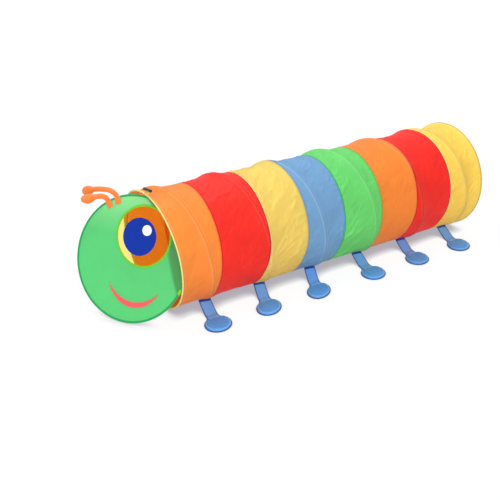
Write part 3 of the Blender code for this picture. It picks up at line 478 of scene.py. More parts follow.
def driftField(rng, angle, x, modes=7, shortest=0.16):
    # A smooth random field from -1 to 1 that closes round the tube
    total = 0.0
    for _ in range(modes):
        around, along = rng.randint(0, 6), rng.uniform(-tau, tau) / (2 * shortest)
        total = total + np.cos(around * angle + along * x + rng.uniform(0, tau))
    return total / math.sqrt(modes)


def pullCreases(look, angle, x):
    # Short soft creases as separate strokes, most of them slantwise across the turns, over the whole panel
    rng = np.random.RandomState(look["seed"])
    around, length = tau * tunnel["crest"], look["length"]
    total = np.zeros(np.broadcast(angle, x).shape)
    for _ in range(int(clothMake["creasesPerMetre"] * length)):
        middleAngle, middleX = rng.uniform(0, around), look["from"] + rng.uniform(-0.01, length + 0.01)
        slant = math.radians(rng.normal(*clothMake["slant"]))
        reach, width = rng.uniform(*clothMake["creaseReach"]), rng.uniform(*clothMake["creaseWidth"])
        size = rng.uniform(*clothMake["creaseSize"]) * (
            1.0 if rng.uniform() < clothMake["raised"] else clothMake["dip"])
        curl = rng.normal(0, clothMake["curl"])
        arc = (angle * tunnel["crest"] - middleAngle + around / 2) % around - around / 2
        away = x - middleX
        near = (np.abs(arc) < clothMake["creaseCut"] * reach) & (np.abs(away) < clothMake["creaseCut"] * reach)
        if not near.any():
            continue
        arc, away = np.broadcast_to(arc, near.shape)[near], np.broadcast_to(away, near.shape)[near]
        along = away * math.cos(slant) - arc * math.sin(slant)
        across = away * math.sin(slant) + arc * math.cos(slant) + curl * along ** 2
        tapered = width * (1.15 - 0.5 * along / reach)
        stroke = np.exp(-(across / tapered) ** 2 - (along / reach) ** 2)
        total[near] += size * width / clothMake["usualWidth"] * stroke
    return total


def clothRelief(look, angle, x, between, fromStart, fromEnd):
    # Long shallow pull folds, short creases over them, and gathers beside the seams
    rng = np.random.RandomState(look["seed"])
    folds = 0.0
    for waves, slope, share in clothMake["folds"]:
        wave = slope * tau * tunnel["crest"] / waves
        bend = clothMake["foldBend"] * driftField(rng, angle, x)
        patch = smoothStep(0.5 + clothMake["foldPatch"] * driftField(rng, angle, x, shortest=0.1))
        phase = waves * angle + tau * x / wave + bend + rng.uniform(0, tau)
        folds = folds + share * patch * ((0.5 + 0.5 * np.cos(phase)) ** 2 - clothMake["foldMean"])
    fromSeam, free = np.minimum(fromStart, fromEnd), np.sin(math.pi * between)
    held = free ** 0.6 * (0.4 + 0.6 * smoothStep(fromSeam / clothMake["foldFade"]))
    short = free ** 0.35 * smoothStep(fromSeam / clothMake["creaseFade"])
    creases = folds * held * clothMake["foldSize"] + pullCreases(look, angle, x) * short
    gathers = 0.0
    for distance, size in ((fromStart, look["gather"][0]), (fromEnd, look["gather"][1])):
        phase = clothMake["gatherWaves"] * angle + clothMake["gatherBend"] * driftField(rng, angle, x, shortest=0.3)
        strength = 0.4 + 0.6 * smoothStep(0.5 + driftField(rng, angle, x))
        faded = np.exp(-np.maximum(distance - clothMake["seamHalf"], 0) / clothMake["gatherReach"])
        lift = faded * smoothStep(distance / clothMake["gatherRise"])
        gathers = gathers + size * strength * lift * np.cos(phase)
    return creases, gathers


def clothRadius(index, angle, x):
    # Radius of the outer skin of one panel at one angle, with what its material needs to know
    look = panels[index]
    radius, fromWire, between = clothLine(angle, x)
    start, end = panelEdges(index, angle)
    fromStart, fromEnd = x - start, end - x
    creases, gathers = clothRelief(look, angle, x, between, fromStart, fromEnd)
    band = 1 - smoothStep((fromWire - clothMake["bandHalf"] + 0.001) / clothMake["bandSoft"])
    seam = 1 - smoothStep((np.minimum(fromStart, fromEnd) - clothMake["seamHalf"]) / clothMake["bandSoft"])
    # smooth where an end is tucked into its binding
    loose = smoothStep((fromStart - clothMake["tucked"]) / clothMake["tuckFade"]) if index == 0 else 1.0
    loose = loose * (smoothStep((fromEnd - clothMake["tucked"]) / clothMake["tuckFade"]) if index == 7 else 1.0)
    lift = creases * look["crease"] + gathers * (1 - band) + (
        clothMake["bandLift"] * band + clothMake["seamLift"] * seam) * (
            clothMake["endLift"] if index in (0, 7) else 1.0)
    return radius + lift * loose, fromWire, fromStart, fromEnd, creases


def panelEdges(index, angle):
    # Where a panel starts and ends along the tunnel; the first one starts at the slanting mouth
    endGap, seamGap = clothMake["endGap"], clothMake["seamGap"]
    start = mouthPlane(angle) + endGap if index == 0 else seams[index] + seamGap + 0 * angle
    end = (tunnelLength - endGap if index == 7 else seams[index + 1] - seamGap) + 0 * angle
    return start, end


def makePanel(index):
    # One stripe of cloth as a closed shell, an outer and an inner skin
    look, columns = panels[index], clothMake["columns"]
    rows = int(look["length"] / clothMake["rowStep"])
    angle = roundSteps(columns)[:, None]
    start, end = panelEdges(index, angle)
    x = start + (end - start) * np.linspace(0, 1, rows + 1)
    radius, fromWire, fromStart, fromEnd, creases = clothRadius(index, angle, x)
    grid = skins(tubePoint(x, radius, angle), tubePoint(x, radius - clothMake["thickness"], angle))
    grid[..., 2] = np.maximum(grid[..., 2], 0.0)
    along = np.concatenate([skins(x, x), x[:, :1]], 1)
    around = tunnel["crest"] * tau * np.arange(columns + 1)[:, None] / columns
    lengths = np.stack(np.broadcast_arrays(np.concatenate([along, along[:1]]), around), -1)
    values = {label: skins(data, data) for label, data in (
        ("wire", fromWire), ("start", fromStart), ("end", fromEnd), ("crease", creases))}
    values["lining"] = skins(0 * x, 0 * x + 1)    # 1 on the inner skin
    # the crease strength below paints shade into the creases' valleys and light onto their crests
    cloth = wovenCloth(look["node"] + "_taffeta", {
        "colour": look["colour"], "through": 0.36, "lining": 0.75, "creaseShading": 0.06, "mottle": 0.04, "sheen": 0.08,
        "crumple": 6.5, "specular": 0.22,
        "bands": [{"from": "wire", "width": clothMake["bandHalf"] - 0.001, "colour": look["band"]},
                  {"from": "wire", "width": clothMake["bandHalf"] - 0.0045, "colour": look["colour"]},
                  {"from": "start", "width": clothMake["seamHalf"], "colour": look["startEdge"]},
                  {"from": "end", "width": clothMake["seamHalf"], "colour": look["endEdge"]}]})
    return gridObject(look["node"] + "_cloth", grid, cloth, wrapAlong=True, uv=lengths, values=values,
                      sharp=70, recalc=False)


def runsInside(inside):
    # Splits a row of yes and no into its runs of yes, as slices
    edges = np.flatnonzero(np.diff(np.r_[False, inside, False].astype(int)))
    return [slice(first, last) for first, last in zip(edges[::2], edges[1::2]) if last - first > 3]


def seamStitches(index):
    # Two lines along each ridge's casing and one beside each seam, on the outside of the cloth
    look, paths, lines, normals = panels[index], [], [], []
    for aside in (-clothMake["casingRow"], clothMake["casingRow"]):
        turn = np.arange(0.15, tunnel["turns"] - 0.15, 1 / 360)
        angle = tau * (tunnel["startShare"] + turn) % tau
        x = wirePlace(turn)[0] + aside
        start, end = panelEdges(index, angle)
        inside = (x > start + 0.009) & (x < end - 0.003)
        paths += [(angle[run], x[run]) for run in runsInside(inside)]
    angle = np.linspace(0, tau, 361)
    start, end = panelEdges(index, angle)
    if index != 0:
        paths.append((angle, start + clothMake["seamRow"]))
    if index != 7:
        paths.append((angle, end - clothMake["seamRow"]))
    for angle, x in paths:
        lines.append(tubePoint(x, clothRadius(index, angle, x)[0] + 0.0001, angle))
        normals.append(outwards(angle))
    return sew(look["node"] + "_stitches", lines, normals, thread(look["node"] + "_thread", look["thread"]),
               thickness=0.0009)


for index, look in enumerate(panels):
    body = "root" if index == 0 else "section_%d" % (index + 1)
    piece = assign(makePanel(index), body, look["slot"], look["node"], foldAt=seams[index])
    assign(seamStitches(index), body, look["slot"], foldAt=seams[index])
print("panels sewn")

# Spring wire: a closed loop in each end's binding and six turns between, from one rule of turns

wireMake = {"stepsPerTurn": 120, "sides": 8, "ferruleHalf": 0.008, "ferruleAt": 0.014, "crimps": (-0.55, 0.0, 0.55),
            "crimpDepth": 0.16, "crimpWidth": 0.11, "sleeveBore": 0.0002, "sleeveSkin": 0.0007}


def wirePath(turns):
    # centre line; turns below 0 are the mouth's loop and above six the tail's
    turns = np.asarray(turns, float)
    angle = tau * (tunnel["startShare"] + turns)
    x, radius = wirePlace(np.clip(turns, 0, tunnel["turns"]))
    atMouth = mouthPlane(angle) + tunnel["outerStrand"] + tunnel["strandStep"] * (turns + 1)
    atTail = tunnelLength - innerStrand + tunnel["strandStep"] * (turns - tunnel["turns"])
    x = np.where(turns < 0, atMouth, np.where(turns > tunnel["turns"], atTail, x))
    return x, radius, angle


springSteel = plainSurface("polished_spring_steel", {    # drawn, hardened wire: grey with a narrow bright line
    "colour": "#9A9C9E", "roughness": 0.28, "metallic": 1.0, "grain": 300.0})
turns = np.arange(-1, tunnel["turns"] + 1 + 1e-6, 1 / wireMake["stepsPerTurn"])
wire = grow("spring_wire", [tubePoint(*wirePath(turns))], cordNodes, {
    "Radius": tunnel["wireRadius"], "Sides": wireMake["sides"], "Material": springSteel})
assign(wire, "root", "spring_steel", "spring_coil", foldAt=0.0)


def closedProfile(points, rounds=2):
    # Softens the corners of a closed outline by cutting each of them, round after round
    points = np.asarray(points, float)
    for _ in range(rounds):
        after = np.roll(points, -1, 0)
        points = np.stack([0.75 * points + 0.25 * after, 0.25 * points + 0.75 * after], 1).reshape(-1, 2)
    return points


casing = {"half": 0.007, "channel": 0.0025, "wall": 0.0006, "gap": 0.0004, "colour": "#F58A42", "puckers": 0.0003,
          "leave": 7 / 24, "stepsPerTurn": 96, "puckersPerTurn": 30}


def makeCasing():
    # The tape that sews the wire to the inside of the cloth, puckered by its stitches
    half, channel, wall = casing["half"], casing["channel"], casing["wall"]
    high, low = tunnel["wireRadius"], -tunnel["wireRadius"] - tunnel["seat"]
    flare = half - (half - channel) / 2
    outer = [(-half, high), (-flare, high), (-channel, low), (channel, low), (flare, high), (half, high)]
    profile = closedProfile(outer + [(s, r - wall) for s, r in reversed(outer)], 1)
    turn = np.arange(casing["leave"], tunnel["turns"] - casing["leave"], 1 / casing["stepsPerTurn"])[:, None]
    x, radius, angle = wirePath(turn)
    edge = np.clip(np.abs(profile[:, 0]) / half, 0, 1) ** 3
    wave = np.cos(tau * casing["puckersPerTurn"] * turn + np.sin(tau * 4 * turn))
    pucker = casing["puckers"] * edge * np.minimum(0, wave)
    cloth = clothLine(np.broadcast_to(angle, (len(turn), len(profile))), x + profile[:, 0])[0]
    onCloth = smoothStep((np.abs(profile[:, 0]) - channel) / (flare - channel))
    seat = cloth - clothMake["thickness"] - casing["gap"] - high
    onWire = radius + profile[:, 1]
    radius = np.minimum(onWire, seat + profile[:, 1]) * onCloth + onWire * (1 - onCloth)
    grid = tubePoint(x + profile[:, 0], radius + pucker, angle)
    tape = wovenCloth("casing_tape", {"colour": casing["colour"], "through": 0.2, "roughness": 0.6})
    return gridObject("coil_casing_tape", grid, tape, caps=True)


assign(makeCasing(), "root", "casing_tape", "coil_casing", foldAt=0.0)

bindings = {
    "mouth": {"colour": "#FFEE9A", "body": "root", "slot": "mouth_tape", "thread": "#E9CF63", "seed": 5},
    "tail": {"colour": "#F7CB3C", "body": "tail_rim", "slot": "tail_tape", "thread": "#D9A92A", "seed": 6},
}
bindingMake = {"columns": 360, "wide": 0.009, "flange": 0.0035, "wall": 0.0008, "corner": 0.0012, "gathers": 0.0003,
               "stitchInset": 0.0013, "turnDown": (0.003, 0.002), "waves": (58, 37), "second": 0.6, "rise": 0.004,
               "most": 0.0002}


def makeBinding(end):
    # Bias tape folded over the end of the cloth and the wire's loop, slightly gathered along the inside of the fold
    look, make = bindings[end], bindingMake

    def fromEnd(inset, angle):
        return mouthPlane(angle) + inset if end == "mouth" else tunnelLength - inset

    ferrule = tunnel["wireRadius"] + tunnel["seat"] + 0.0005
    top = tunnel["rim"] + tunnel["seat"] + make["wall"]
    low = tunnel["loopRadius"] - ferrule - tunnel["seat"] - make["wall"]
    wall, corner, wide, flange = (make[key] for key in ("wall", "corner", "wide", "flange"))
    profile = [(flange, top), (0.5 * flange, top), (corner, top), (0.0, top - corner), (0.0, low + corner),
               (corner, low), (0.5 * wide, low), (wide, low), (wide, low + wall), (0.5 * wide, low + wall),
               (wall, low + wall), (wall, top - wall), (0.5 * flange, top - wall), (flange, top - wall)]
    profile = closedProfile(profile)
    rng = np.random.RandomState(look["seed"])
    angle = roundSteps(make["columns"])[:, None]
    (below, over), (wavesA, wavesB) = make["turnDown"], make["waves"]
    outer = smoothStep((profile[:, 1] - (top - below)) / over)
    gathers = np.cos(wavesA * angle + 2 * driftField(rng, angle, 0)) + make["second"] * np.cos(wavesB * angle + 1.0)
    lift = make["gathers"] * gathers * np.where(outer > 0.5, 0.5, 1.0) * smoothStep(profile[:, 0] / make["rise"])
    grid = tubePoint(fromEnd(profile[:, 0], angle), profile[:, 1] + np.minimum(lift, make["most"]), angle)
    grid[..., 2] = np.maximum(grid[..., 2], 0.0)
    cloth = wovenCloth(end + "_binding_tape", {"colour": look["colour"], "through": 0.15, "roughness": 0.6,
                                               "thread": 0.0018, "relief": 0.4})
    piece = gridObject(end + "_binding_tape", grid, cloth, wrapAlong=True)
    runs, normals = [], []
    angle = np.linspace(0, tau, 361)
    for inset, radius, way in ((flange - make["stitchInset"], top + 0.0001, 1),
                               (wide - make["stitchInset"], low - 0.0001, -1)):
        runs.append(tubePoint(fromEnd(inset, angle), radius, angle))
        normals.append(way * outwards(angle))
    sewn = sew(end + "_binding_stitches", runs, normals, thread(end + "_binding_thread", look["thread"]),
               length=0.0040)
    assign(piece, look["body"], look["slot"], end + "_binding")
    assign(sewn, look["body"], look["slot"])


for end in bindings:
    makeBinding(end)


def makeFerrule(end):
    # A crimped steel sleeve round both strands of an end loop, with three crimps across it
    first = -1.0 if end == "mouth" else tunnel["turns"] + 1.0
    inwards = 1.0 if end == "mouth" else -1.0
    arc = np.linspace(-1, 1, 41)[:, None]
    turn = first + inwards * (wireMake["ferruleAt"] + wireMake["ferruleHalf"] * arc) / (tau * tunnel["loopRadius"])
    x, radius, angle = wirePath(turn)
    x = x + inwards * tunnel["strandStep"] / 2
    squeeze = 1 - wireMake["crimpDepth"] * sum(np.exp(-((arc - place) / wireMake["crimpWidth"]) ** 2)
                                               for place in wireMake["crimps"])
    around = roundSteps(32)
    bore, skin = (tunnel["wireRadius"] + wireMake[key] for key in ("sleeveBore", "sleeveSkin"))
    side = np.sign(np.cos(around)) * tunnel["strandStep"] / 2 * (np.abs(np.cos(around)) > 1e-6)
    shell = tubePoint(x + side + skin * np.cos(around), radius + skin * squeeze * np.sin(around), angle)
    lining = tubePoint(x + side + bore * np.cos(around), radius + bore * np.sin(around), angle)
    grid = np.concatenate([shell, lining[::-1]], 0)
    # pressed mild steel, tin plated: brighter and softer than the wire
    steel = plainSurface(end + "_ferrule_steel", {"colour": "#B4B5B6", "roughness": 0.36, "metallic": 1.0,
                                                  "grain": 500.0})
    piece = gridObject("wire_ferrule_%s_sleeve" % end, grid, steel, wrapAlong=True, sharp=40)
    assign(piece, bindings[end]["body"], "ferrule_steel", "wire_ferrule_" + end)


for end in bindings:
    makeFerrule(end)
print("wire, casing and bindings made")

# Head flap, in its own plane: u to the right, v up, w to the front

head = {
    "radius": 0.244, "yaw": math.radians(-58.9), "lean": math.radians(22.6), "gap": 0.0095,
    "hingeOnRim": math.radians(202.5), "wireInset": 0.0035, "wireRadius": 0.00125, "bindingWidth": 0.008,
    "windowU": 0.038212, "windowV": 0.093169, "windowRadius": 0.1125, "ringOuter": 0.1195, "ringInner": 0.1115,
    "pupilRadius": 0.072, "pupilU": 0.021212, "pupilV": 0.088169, "shineRadius": 0.020, "relief": 0.0030,
    "shineU": 0.028, "shineV": 0.029, "filmWall": 0.0005, "inkWall": 0.0006,
    "facets": 36,    # flats round the hoop in the CAD model
    "paintedShadeV": [-0.16, -0.10, -0.041, 0.042, 0.114, 0.186, 0.239],    # where the painted shade beside the mouth's rim ends, a stand-in for the rim's shadow on the flap
    "paintedShadeU": [0.27, 0.226, 0.196, 0.161, 0.150, 0.095, 0.03],
    "gathers": 0.00015, "gatherWaves": (88, 55), "pull": 0.0005, "pullWaves": 44, "pullReach": 0.02, "pullRise": 0.006,
    "reliefWave": 0.3, "reliefSpread": 2.4, "reliefEdge": 0.006, "reliefFade": 0.35, "hingeWall": 0.0006,
    "hingeLap": 0.009, "hingeSpread": math.radians(5), "hoopThread": "#0C8A48", "limeThread": "#57A814",
    "green": "#6AE08A", "paintedLightGreen": "#A8F5AC", "paintedShade": "#5AAE66", "hoop": "#0CA858", "lime": "#74D41E",
    "film": "#FFF7BE",
}
headNormal = np.array([math.sin(head["yaw"]) * math.cos(head["lean"]),
                       -math.cos(head["yaw"]) * math.cos(head["lean"]), math.sin(head["lean"])])
headRight = np.array([math.cos(head["yaw"]), math.sin(head["yaw"]), 0.0])
headUp = np.cross(headNormal, headRight)
gap, tapeWall, corner = 0.0003, 0.0008, 0.0012    # room between pieces, the tapes' thickness, the folds' rounding
hoopHalf = head["wireRadius"] + gap + tapeWall
rimRise = tunnel["crest"] * math.sin(head["hingeOnRim"])
rimPoint = np.array([-math.tan(tunnel["mouthLean"]) * rimRise, tunnel["crest"] * math.cos(head["hingeOnRim"]),
                     tunnel["axis"] + rimRise])
headHeight = head["radius"] * math.cos(head["lean"]) + (hoopHalf - corner) * math.sin(head["lean"])
hingeAngle = math.asin((rimPoint[2] - headHeight) / (head["radius"] + head["gap"]) / math.cos(head["lean"]))
headCentre = (rimPoint - (headRight * math.cos(hingeAngle) + headUp * math.sin(hingeAngle))
              * (head["radius"] + head["gap"]) + np.array([tunnel["mouthX"], tunnel["middleY"], 0.0]))
clothHalf, patchBase = 0.0004, 0.0007    # the head cloth's half thickness, and what is sewn on it starts here
outerCloth = head["radius"] - head["wireInset"] - head["wireRadius"] - gap


def headRelief(u, v):
    # The cloth stands slack in its hoop: long shallow waves, none at the hoop
    rng = np.random.RandomState(19)
    total = 0.0
    for _ in range(6):
        across, up = rng.uniform(-tau, tau, 2) / head["reliefWave"]
        total = total + np.cos(across * u + up * v + rng.uniform(0, tau))
    reach = np.sqrt(u * u + v * v) / (head["radius"] - head["reliefEdge"])
    return head["relief"] * total / head["reliefSpread"] * smoothStep((1 - reach) / head["reliefFade"])


def headPoint(u, v, w, follow=True):
    u, v, w = np.broadcast_arrays(np.asarray(u, float), v, w)
    if follow:
        w = w + headRelief(u, v)
    return headCentre + u[..., None] * headRight + v[..., None] * headUp + w[..., None] * headNormal


def headArc(radius, angle, w, centre=(0.0, 0.0), follow=True):
    # Points round a centre in the head's plane
    return headPoint(centre[0] + radius * np.cos(angle), centre[1] + radius * np.sin(angle), w, follow)


def rideHead(piece, slot, *nodes):
    return assign(piece, "head", slot, *nodes)


def makeHeadCloth():
    # Cloth from the round window, which is off the middle, out to the hoop
    columns, rows = 264, 46
    angle = roundSteps(columns)[:, None]
    reachAcross = head["windowU"] * np.cos(angle) + head["windowV"] * np.sin(angle)
    middle = head["windowU"] ** 2 + head["windowV"] ** 2
    reach = -reachAcross + np.sqrt(reachAcross ** 2 - middle + outerCloth ** 2)
    share = np.linspace(0, 1, rows)
    distance = head["windowRadius"] + (reach - head["windowRadius"]) * share
    u, v = head["windowU"] + distance * np.cos(angle), head["windowV"] + distance * np.sin(angle)
    fromHoop = outerCloth - np.sqrt(u * u + v * v)
    around = np.arctan2(v, u)
    rng = np.random.RandomState(29)
    wave = np.cos(head["pullWaves"] * around + 2.0 * driftField(rng, around, 0))
    pull = head["pull"] * wave * np.exp(-fromHoop / head["pullReach"]) * smoothStep(fromHoop / head["pullRise"])
    grid = skins(headPoint(u, v, pull + clothHalf), headPoint(u, v, pull - clothHalf))
    flat = np.stack([np.concatenate([skins(side, side), side[:, :1]], 1) for side in (u, v)], -1)
    flat = np.concatenate([flat, flat[:1]])
    edge = np.interp(v, head["paintedShadeV"], head["paintedShadeU"])    # beyond it the cloth is painted darker: painted shade for the mouth rim's shadow
    return gridObject("head_cloth", grid, headTaffeta(), wrapAlong=True, uv=flat,
                      values={"fromPaintedShade": skins(edge - u, edge - u)})


def headTaffeta():
    # The same taffeta as the tube's, in mint green, with painted light: painted paler towards the top, where more
    # light comes through it
    material = wovenCloth("mint_green_taffeta", {
        "colour": head["green"], "through": 0.30, "mottle": 0.03, "crumple": 2.5, "sheen": 0.08, "specular": 0.22,
        # painted shade beside the mouth's rim, where the rim's shadow falls on the flap
        "bands": [{"from": "fromPaintedShade", "width": 0.0, "soft": 0.014, "colour": head["paintedShade"]}]})
    base = next(node for node in material.node_tree.nodes if node.type == "RGB")
    user = base.outputs[0].links[0].to_socket
    place = addNode(material, "ShaderNodeTexCoord")
    height = addNode(material, "ShaderNodeSeparateXYZ", {0: place.outputs["Object"]}).outputs["Z"]
    paintedLightShare = addNode(material, "ShaderNodeMapRange", {"Value": height, 1: 0.30, 2: 0.46, 3: 0.0, 4: 1.0})
    mixed = addNode(material, "ShaderNodeMix", {0: paintedLightShare, 6: base, 7: linear(head["paintedLightGreen"])}, data_type="RGBA")
    material.node_tree.links.new(mixed.outputs[2], user)
    return material


cloth = rideHead(makeHeadCloth(), "head_polyester", "head_panel")

hoop = grow("hoop_wire", [headArc(head["radius"] - head["wireInset"], roundSteps(240), 0.0, follow=False)],
            cordNodes, {"Radius": head["wireRadius"], "Sides": 8, "Material": springSteel}, closed=True)
rideHead(hoop, "spring_steel", "head_hoop_wire")


def headRing(profile, columns=360):
    # The tape folded round the hoop, gathered a little on its inner side
    angle = roundSteps(columns)[:, None]
    first, second = head["gatherWaves"]
    wave = np.cos(first * angle + 2 * driftField(np.random.RandomState(7), angle, 0)) + 0.5 * np.cos(second * angle)
    inward = smoothStep((head["radius"] - profile[:, 0]) / 0.003)
    w = profile[:, 1] + np.sign(profile[:, 1]) * head["gathers"] * wave * inward
    return headArc(profile[:, 0], angle, w, follow=False)


def foldedTape(cover, lining, rounds):
    # The closed outline of a tape folded round the hoop, the same in front and behind
    return closedProfile(cover + [(r, -w) for r, w in reversed(cover)] + [(r, -w) for r, w in lining]
                         + list(reversed(lining)), rounds)


inner, shoulder = head["radius"] - head["bindingWidth"], head["radius"] - 2 * head["wireInset"]
profile = foldedTape([(inner, patchBase + tapeWall), (shoulder, hoopHalf), (head["radius"] - corner, hoopHalf),
                      (head["radius"], hoopHalf - corner)],
                     [(inner, patchBase), (shoulder, hoopHalf - tapeWall),
                      (head["radius"] - tapeWall, hoopHalf - tapeWall)], 2)
tapeLook = {"through": 0.08, "roughness": 0.55, "thread": 0.0018, "relief": 0.4}
hoopTape = wovenCloth("hoop_binding_polyester", {**tapeLook, "colour": head["hoop"], "roughness": 0.6})
limeTape = wovenCloth("lime_bias_tape", {**tapeLook, "colour": head["lime"]})
rideHead(gridObject("hoop_binding_tape", headRing(profile), hoopTape, wrapAlong=True), "hoop_tape",
         "head_hoop_binding")

window = (head["windowU"], head["windowV"])
angle = roundSteps(300)[:, None]
ringMiddle = 0.5 * (head["ringInner"] + head["ringOuter"])
ringProfile = closedProfile([(head["ringInner"], patchBase), (head["ringOuter"], patchBase),
                             (head["ringOuter"], patchBase + tapeWall), (ringMiddle, patchBase + 0.0010),
                             (head["ringInner"], patchBase + tapeWall)])
lift = 0.00012 * np.cos(76 * angle) * smoothStep((ringProfile[:, 1] - patchBase) / 0.0006)
ring = gridObject("window_ring_tape", headArc(ringProfile[:, 0], angle, ringProfile[:, 1] + lift, window), limeTape,
                  wrapAlong=True)
rideHead(ring, "lime_tape", "window_binding")


def headStitches(name, runs, slot, colour, **sizes):
    # Stitches on the head's front
    normals = [np.tile(headNormal, (len(run), 1)) for run in runs]
    return rideHead(sew(name, runs, normals, thread(name + "_thread", colour), **sizes), slot)


loop = np.linspace(0, tau, 361)
headStitches("hoop_stitches", [headArc(inner + 0.0012, loop, patchBase + 0.0012, follow=False)], "hoop_tape",
             head["hoopThread"])
ringEdges = (head["ringInner"] + 0.0014, head["ringOuter"] - 0.0014)
headStitches("window_stitches", [headArc(radius, loop, patchBase + 0.0010, window) for radius in ringEdges],
             "lime_tape", head["limeThread"])


def makeDisc(name, material, slot, node, centre, radius, low, wall, columns, rings, soft=0.0002):
    # A round sheet of vinyl: each section runs from the middle of its front over the edge to the middle of its back
    angle = roundSteps(columns)[:, None]
    share = np.r_[np.linspace(0.0, 1.0, rings), np.linspace(1.0, 0.0, rings)]
    front = np.arange(2 * rings) < rings
    height = np.where(front, low + wall, low) + soft * np.where(front, -1, 1) * share ** 8
    grid = headArc(radius * share, angle, height, centre)
    rideHead(gridObject(name, grid, material, wrapAlong=True, wrapAcross=False, merge=1e-7), slot, node)


filmBack = -patchBase - head["filmWall"]
pupilLow = filmBack + head["filmWall"] + gap
pupilCentre = (head["pupilU"], head["pupilV"])
shineCentre = (head["pupilU"] + head["shineU"], head["pupilV"] + head["shineV"])
makeDisc("window_film_sheet", clearFilm("amber_vinyl_film", {
    "colour": head["film"], "body": "#F6C53A", "roughness": 0.12, "haze": 0.03}),
    "amber_film", "window_film", window, head["windowRadius"] + 0.005, filmBack, head["filmWall"], 128, 22, soft=0.0)
# Printed soft vinyl: a flat even ink, satin
makeDisc("eye_pupil_disc", plainSurface("blue_printed_vinyl", {
    "colour": "#00309E", "roughness": 0.5, "grain": 60.0, "specular": 0.2, "relief": 0.05}),
    "blue_vinyl", "eye_pupil", pupilCentre, head["pupilRadius"], pupilLow, head["inkWall"], 128, 18)
makeDisc("eye_highlight_disc", plainSurface("white_printed_vinyl", {
    "colour": "#FCFCFA", "roughness": 0.45, "grain": 60.0, "specular": 0.35, "relief": 0.05}),
    "white_vinyl", "eye_highlight", shineCentre, head["shineRadius"], pupilLow + 0.0009, head["inkWall"], 72, 8)

smile = {"u": 0.030, "v": -0.020, "radius": 0.140, "depth": 0.020, "from": math.radians(218),
         "to": math.radians(322), "colour": "#FF5A62", "edge": "#E23A48",
         "thinnest": 0.0004, "rim": 0.0003, "swell": 0.0004, "swellReach": 0.0016}


def makeSmile():
    # A crescent of cloth laid on the head and oversewn round its edge
    share = np.linspace(0.0, 1.0, 97)[:, None]
    angle = smile["from"] + (smile["to"] - smile["from"]) * share
    belly = np.maximum(smile["depth"] * np.sin(math.pi * share), smile["thinnest"])
    across = np.r_[np.linspace(0, 1, 9), np.linspace(1, 0, 9)]
    upper = np.r_[np.ones(9), np.zeros(9)]
    edge = np.minimum(across, 1 - across) * belly
    w = patchBase + np.where(upper > 0.5, smile["rim"] + smile["swell"] * smoothStep(edge / smile["swellReach"]), 0.0)
    centre = (smile["u"], smile["v"])
    grid = headArc(smile["radius"] + belly * across, angle, w, centre)
    cloth = wovenCloth("coral_felt", {"colour": smile["colour"], "through": 0.0, "roughness": 0.8, "sheen": 0.35,
                                      "relief": 0.5, "fuzz": 1.5})
    rideHead(gridObject("smile_patch_cloth", grid, cloth, caps=True), "smile_cloth", "smile_patch")
    runs = [headArc(smile["radius"] + belly[:, 0] * side, angle[:, 0], patchBase + 0.0007, centre)
            for side in (0.0, 1.0)]
    headStitches("smile_stitches", runs, "smile_cloth", smile["edge"], pitch=0.0018, length=0.0030,
                 thickness=0.0010, slant=math.radians(72))


makeSmile()


def makeHingeTape():
    # Folded over the hoop's edge beside the mouth; the flap turns on it
    half, wall, spread = hoopHalf + gap, head["hingeWall"], head["hingeSpread"]
    innerEdge, edge = head["radius"] - head["hingeLap"], head["radius"] + gap
    cover = [(innerEdge, half + wall), (edge - corner + wall, half + wall), (edge + wall, half - corner + wall)]
    lining = [(innerEdge, half), (edge - corner, half), (edge, half - corner)]
    outline = foldedTape(cover, lining, 1)
    angle = hingeAngle + spread * np.linspace(-0.5, 0.5, 25)[:, None]
    grid = headArc(outline[:, 0], angle, outline[:, 1], follow=False)
    rideHead(gridObject("head_hinge_band", grid, limeTape, caps=True), "lime_tape", "head_hinge_tape")
    angle = hingeAngle + spread * np.linspace(-0.44, 0.44, 12)
    runs = [headArc(radius, angle, half + wall, follow=False) for radius in (innerEdge + 0.0015, edge - 0.003)]
    headStitches("head_hinge_stitches", runs, "lime_tape", head["limeThread"], pitch=0.0040, length=0.0030)


makeHingeTape()
print("head made")

antennae = {
    "left": {"facet": 12, "heading": math.radians(180), "bend": math.radians(42), "length": 0.098,
             "forward": 0.046, "seed": 3, "bulb": 0.0188, "bulbLength": 0.042, "lead": 0.30, "settle": 0.5},
    "right": {"facet": 11, "heading": math.radians(170), "bend": math.radians(36), "length": 0.176,
              "forward": -0.014, "seed": 4, "bulb": 0.0184, "bulbLength": 0.056, "lead": 0.50, "settle": 0.35},
}
antennaMake = {"colour": "#F5803A", "thread": "#D9601E", "stalk": 0.0104, "neck": 0.2,
               "seam": 0.0005, "stations": 110, "sides": 40, "patchLength": 0.030, "patchWidth": 0.026,
               "patchWall": 0.0008, "foldPitch": 0.011, "folds": 0.07, "puckers": 0.06, "lumps": 0.03, "seamDip": 0.06,
               "pear": 1.25, "shaftEnds": (0.7, 0.2), "tip": 0.0003, "foldFrom": 0.1, "foldTo": 0.05, "foldFade": 0.1,
               "puckerAt": 0.03, "puckerReach": 0.035, "puckerWaves": 11, "lumpSize": 0.3, "seamWidth": 0.16,
               "seamFrom": 0.2, "plain": 0.002}
# Brushed polyester stretched over fibre filling: matt, soft edges to the light, fine nap
plush = wovenCloth("orange_brushed_polyester", {"colour": antennaMake["colour"], "through": 0.0, "roughness": 0.75,
                                                "sheen": 0.4, "relief": 0.5, "fuzz": 1.6, "mottle": 0.05})


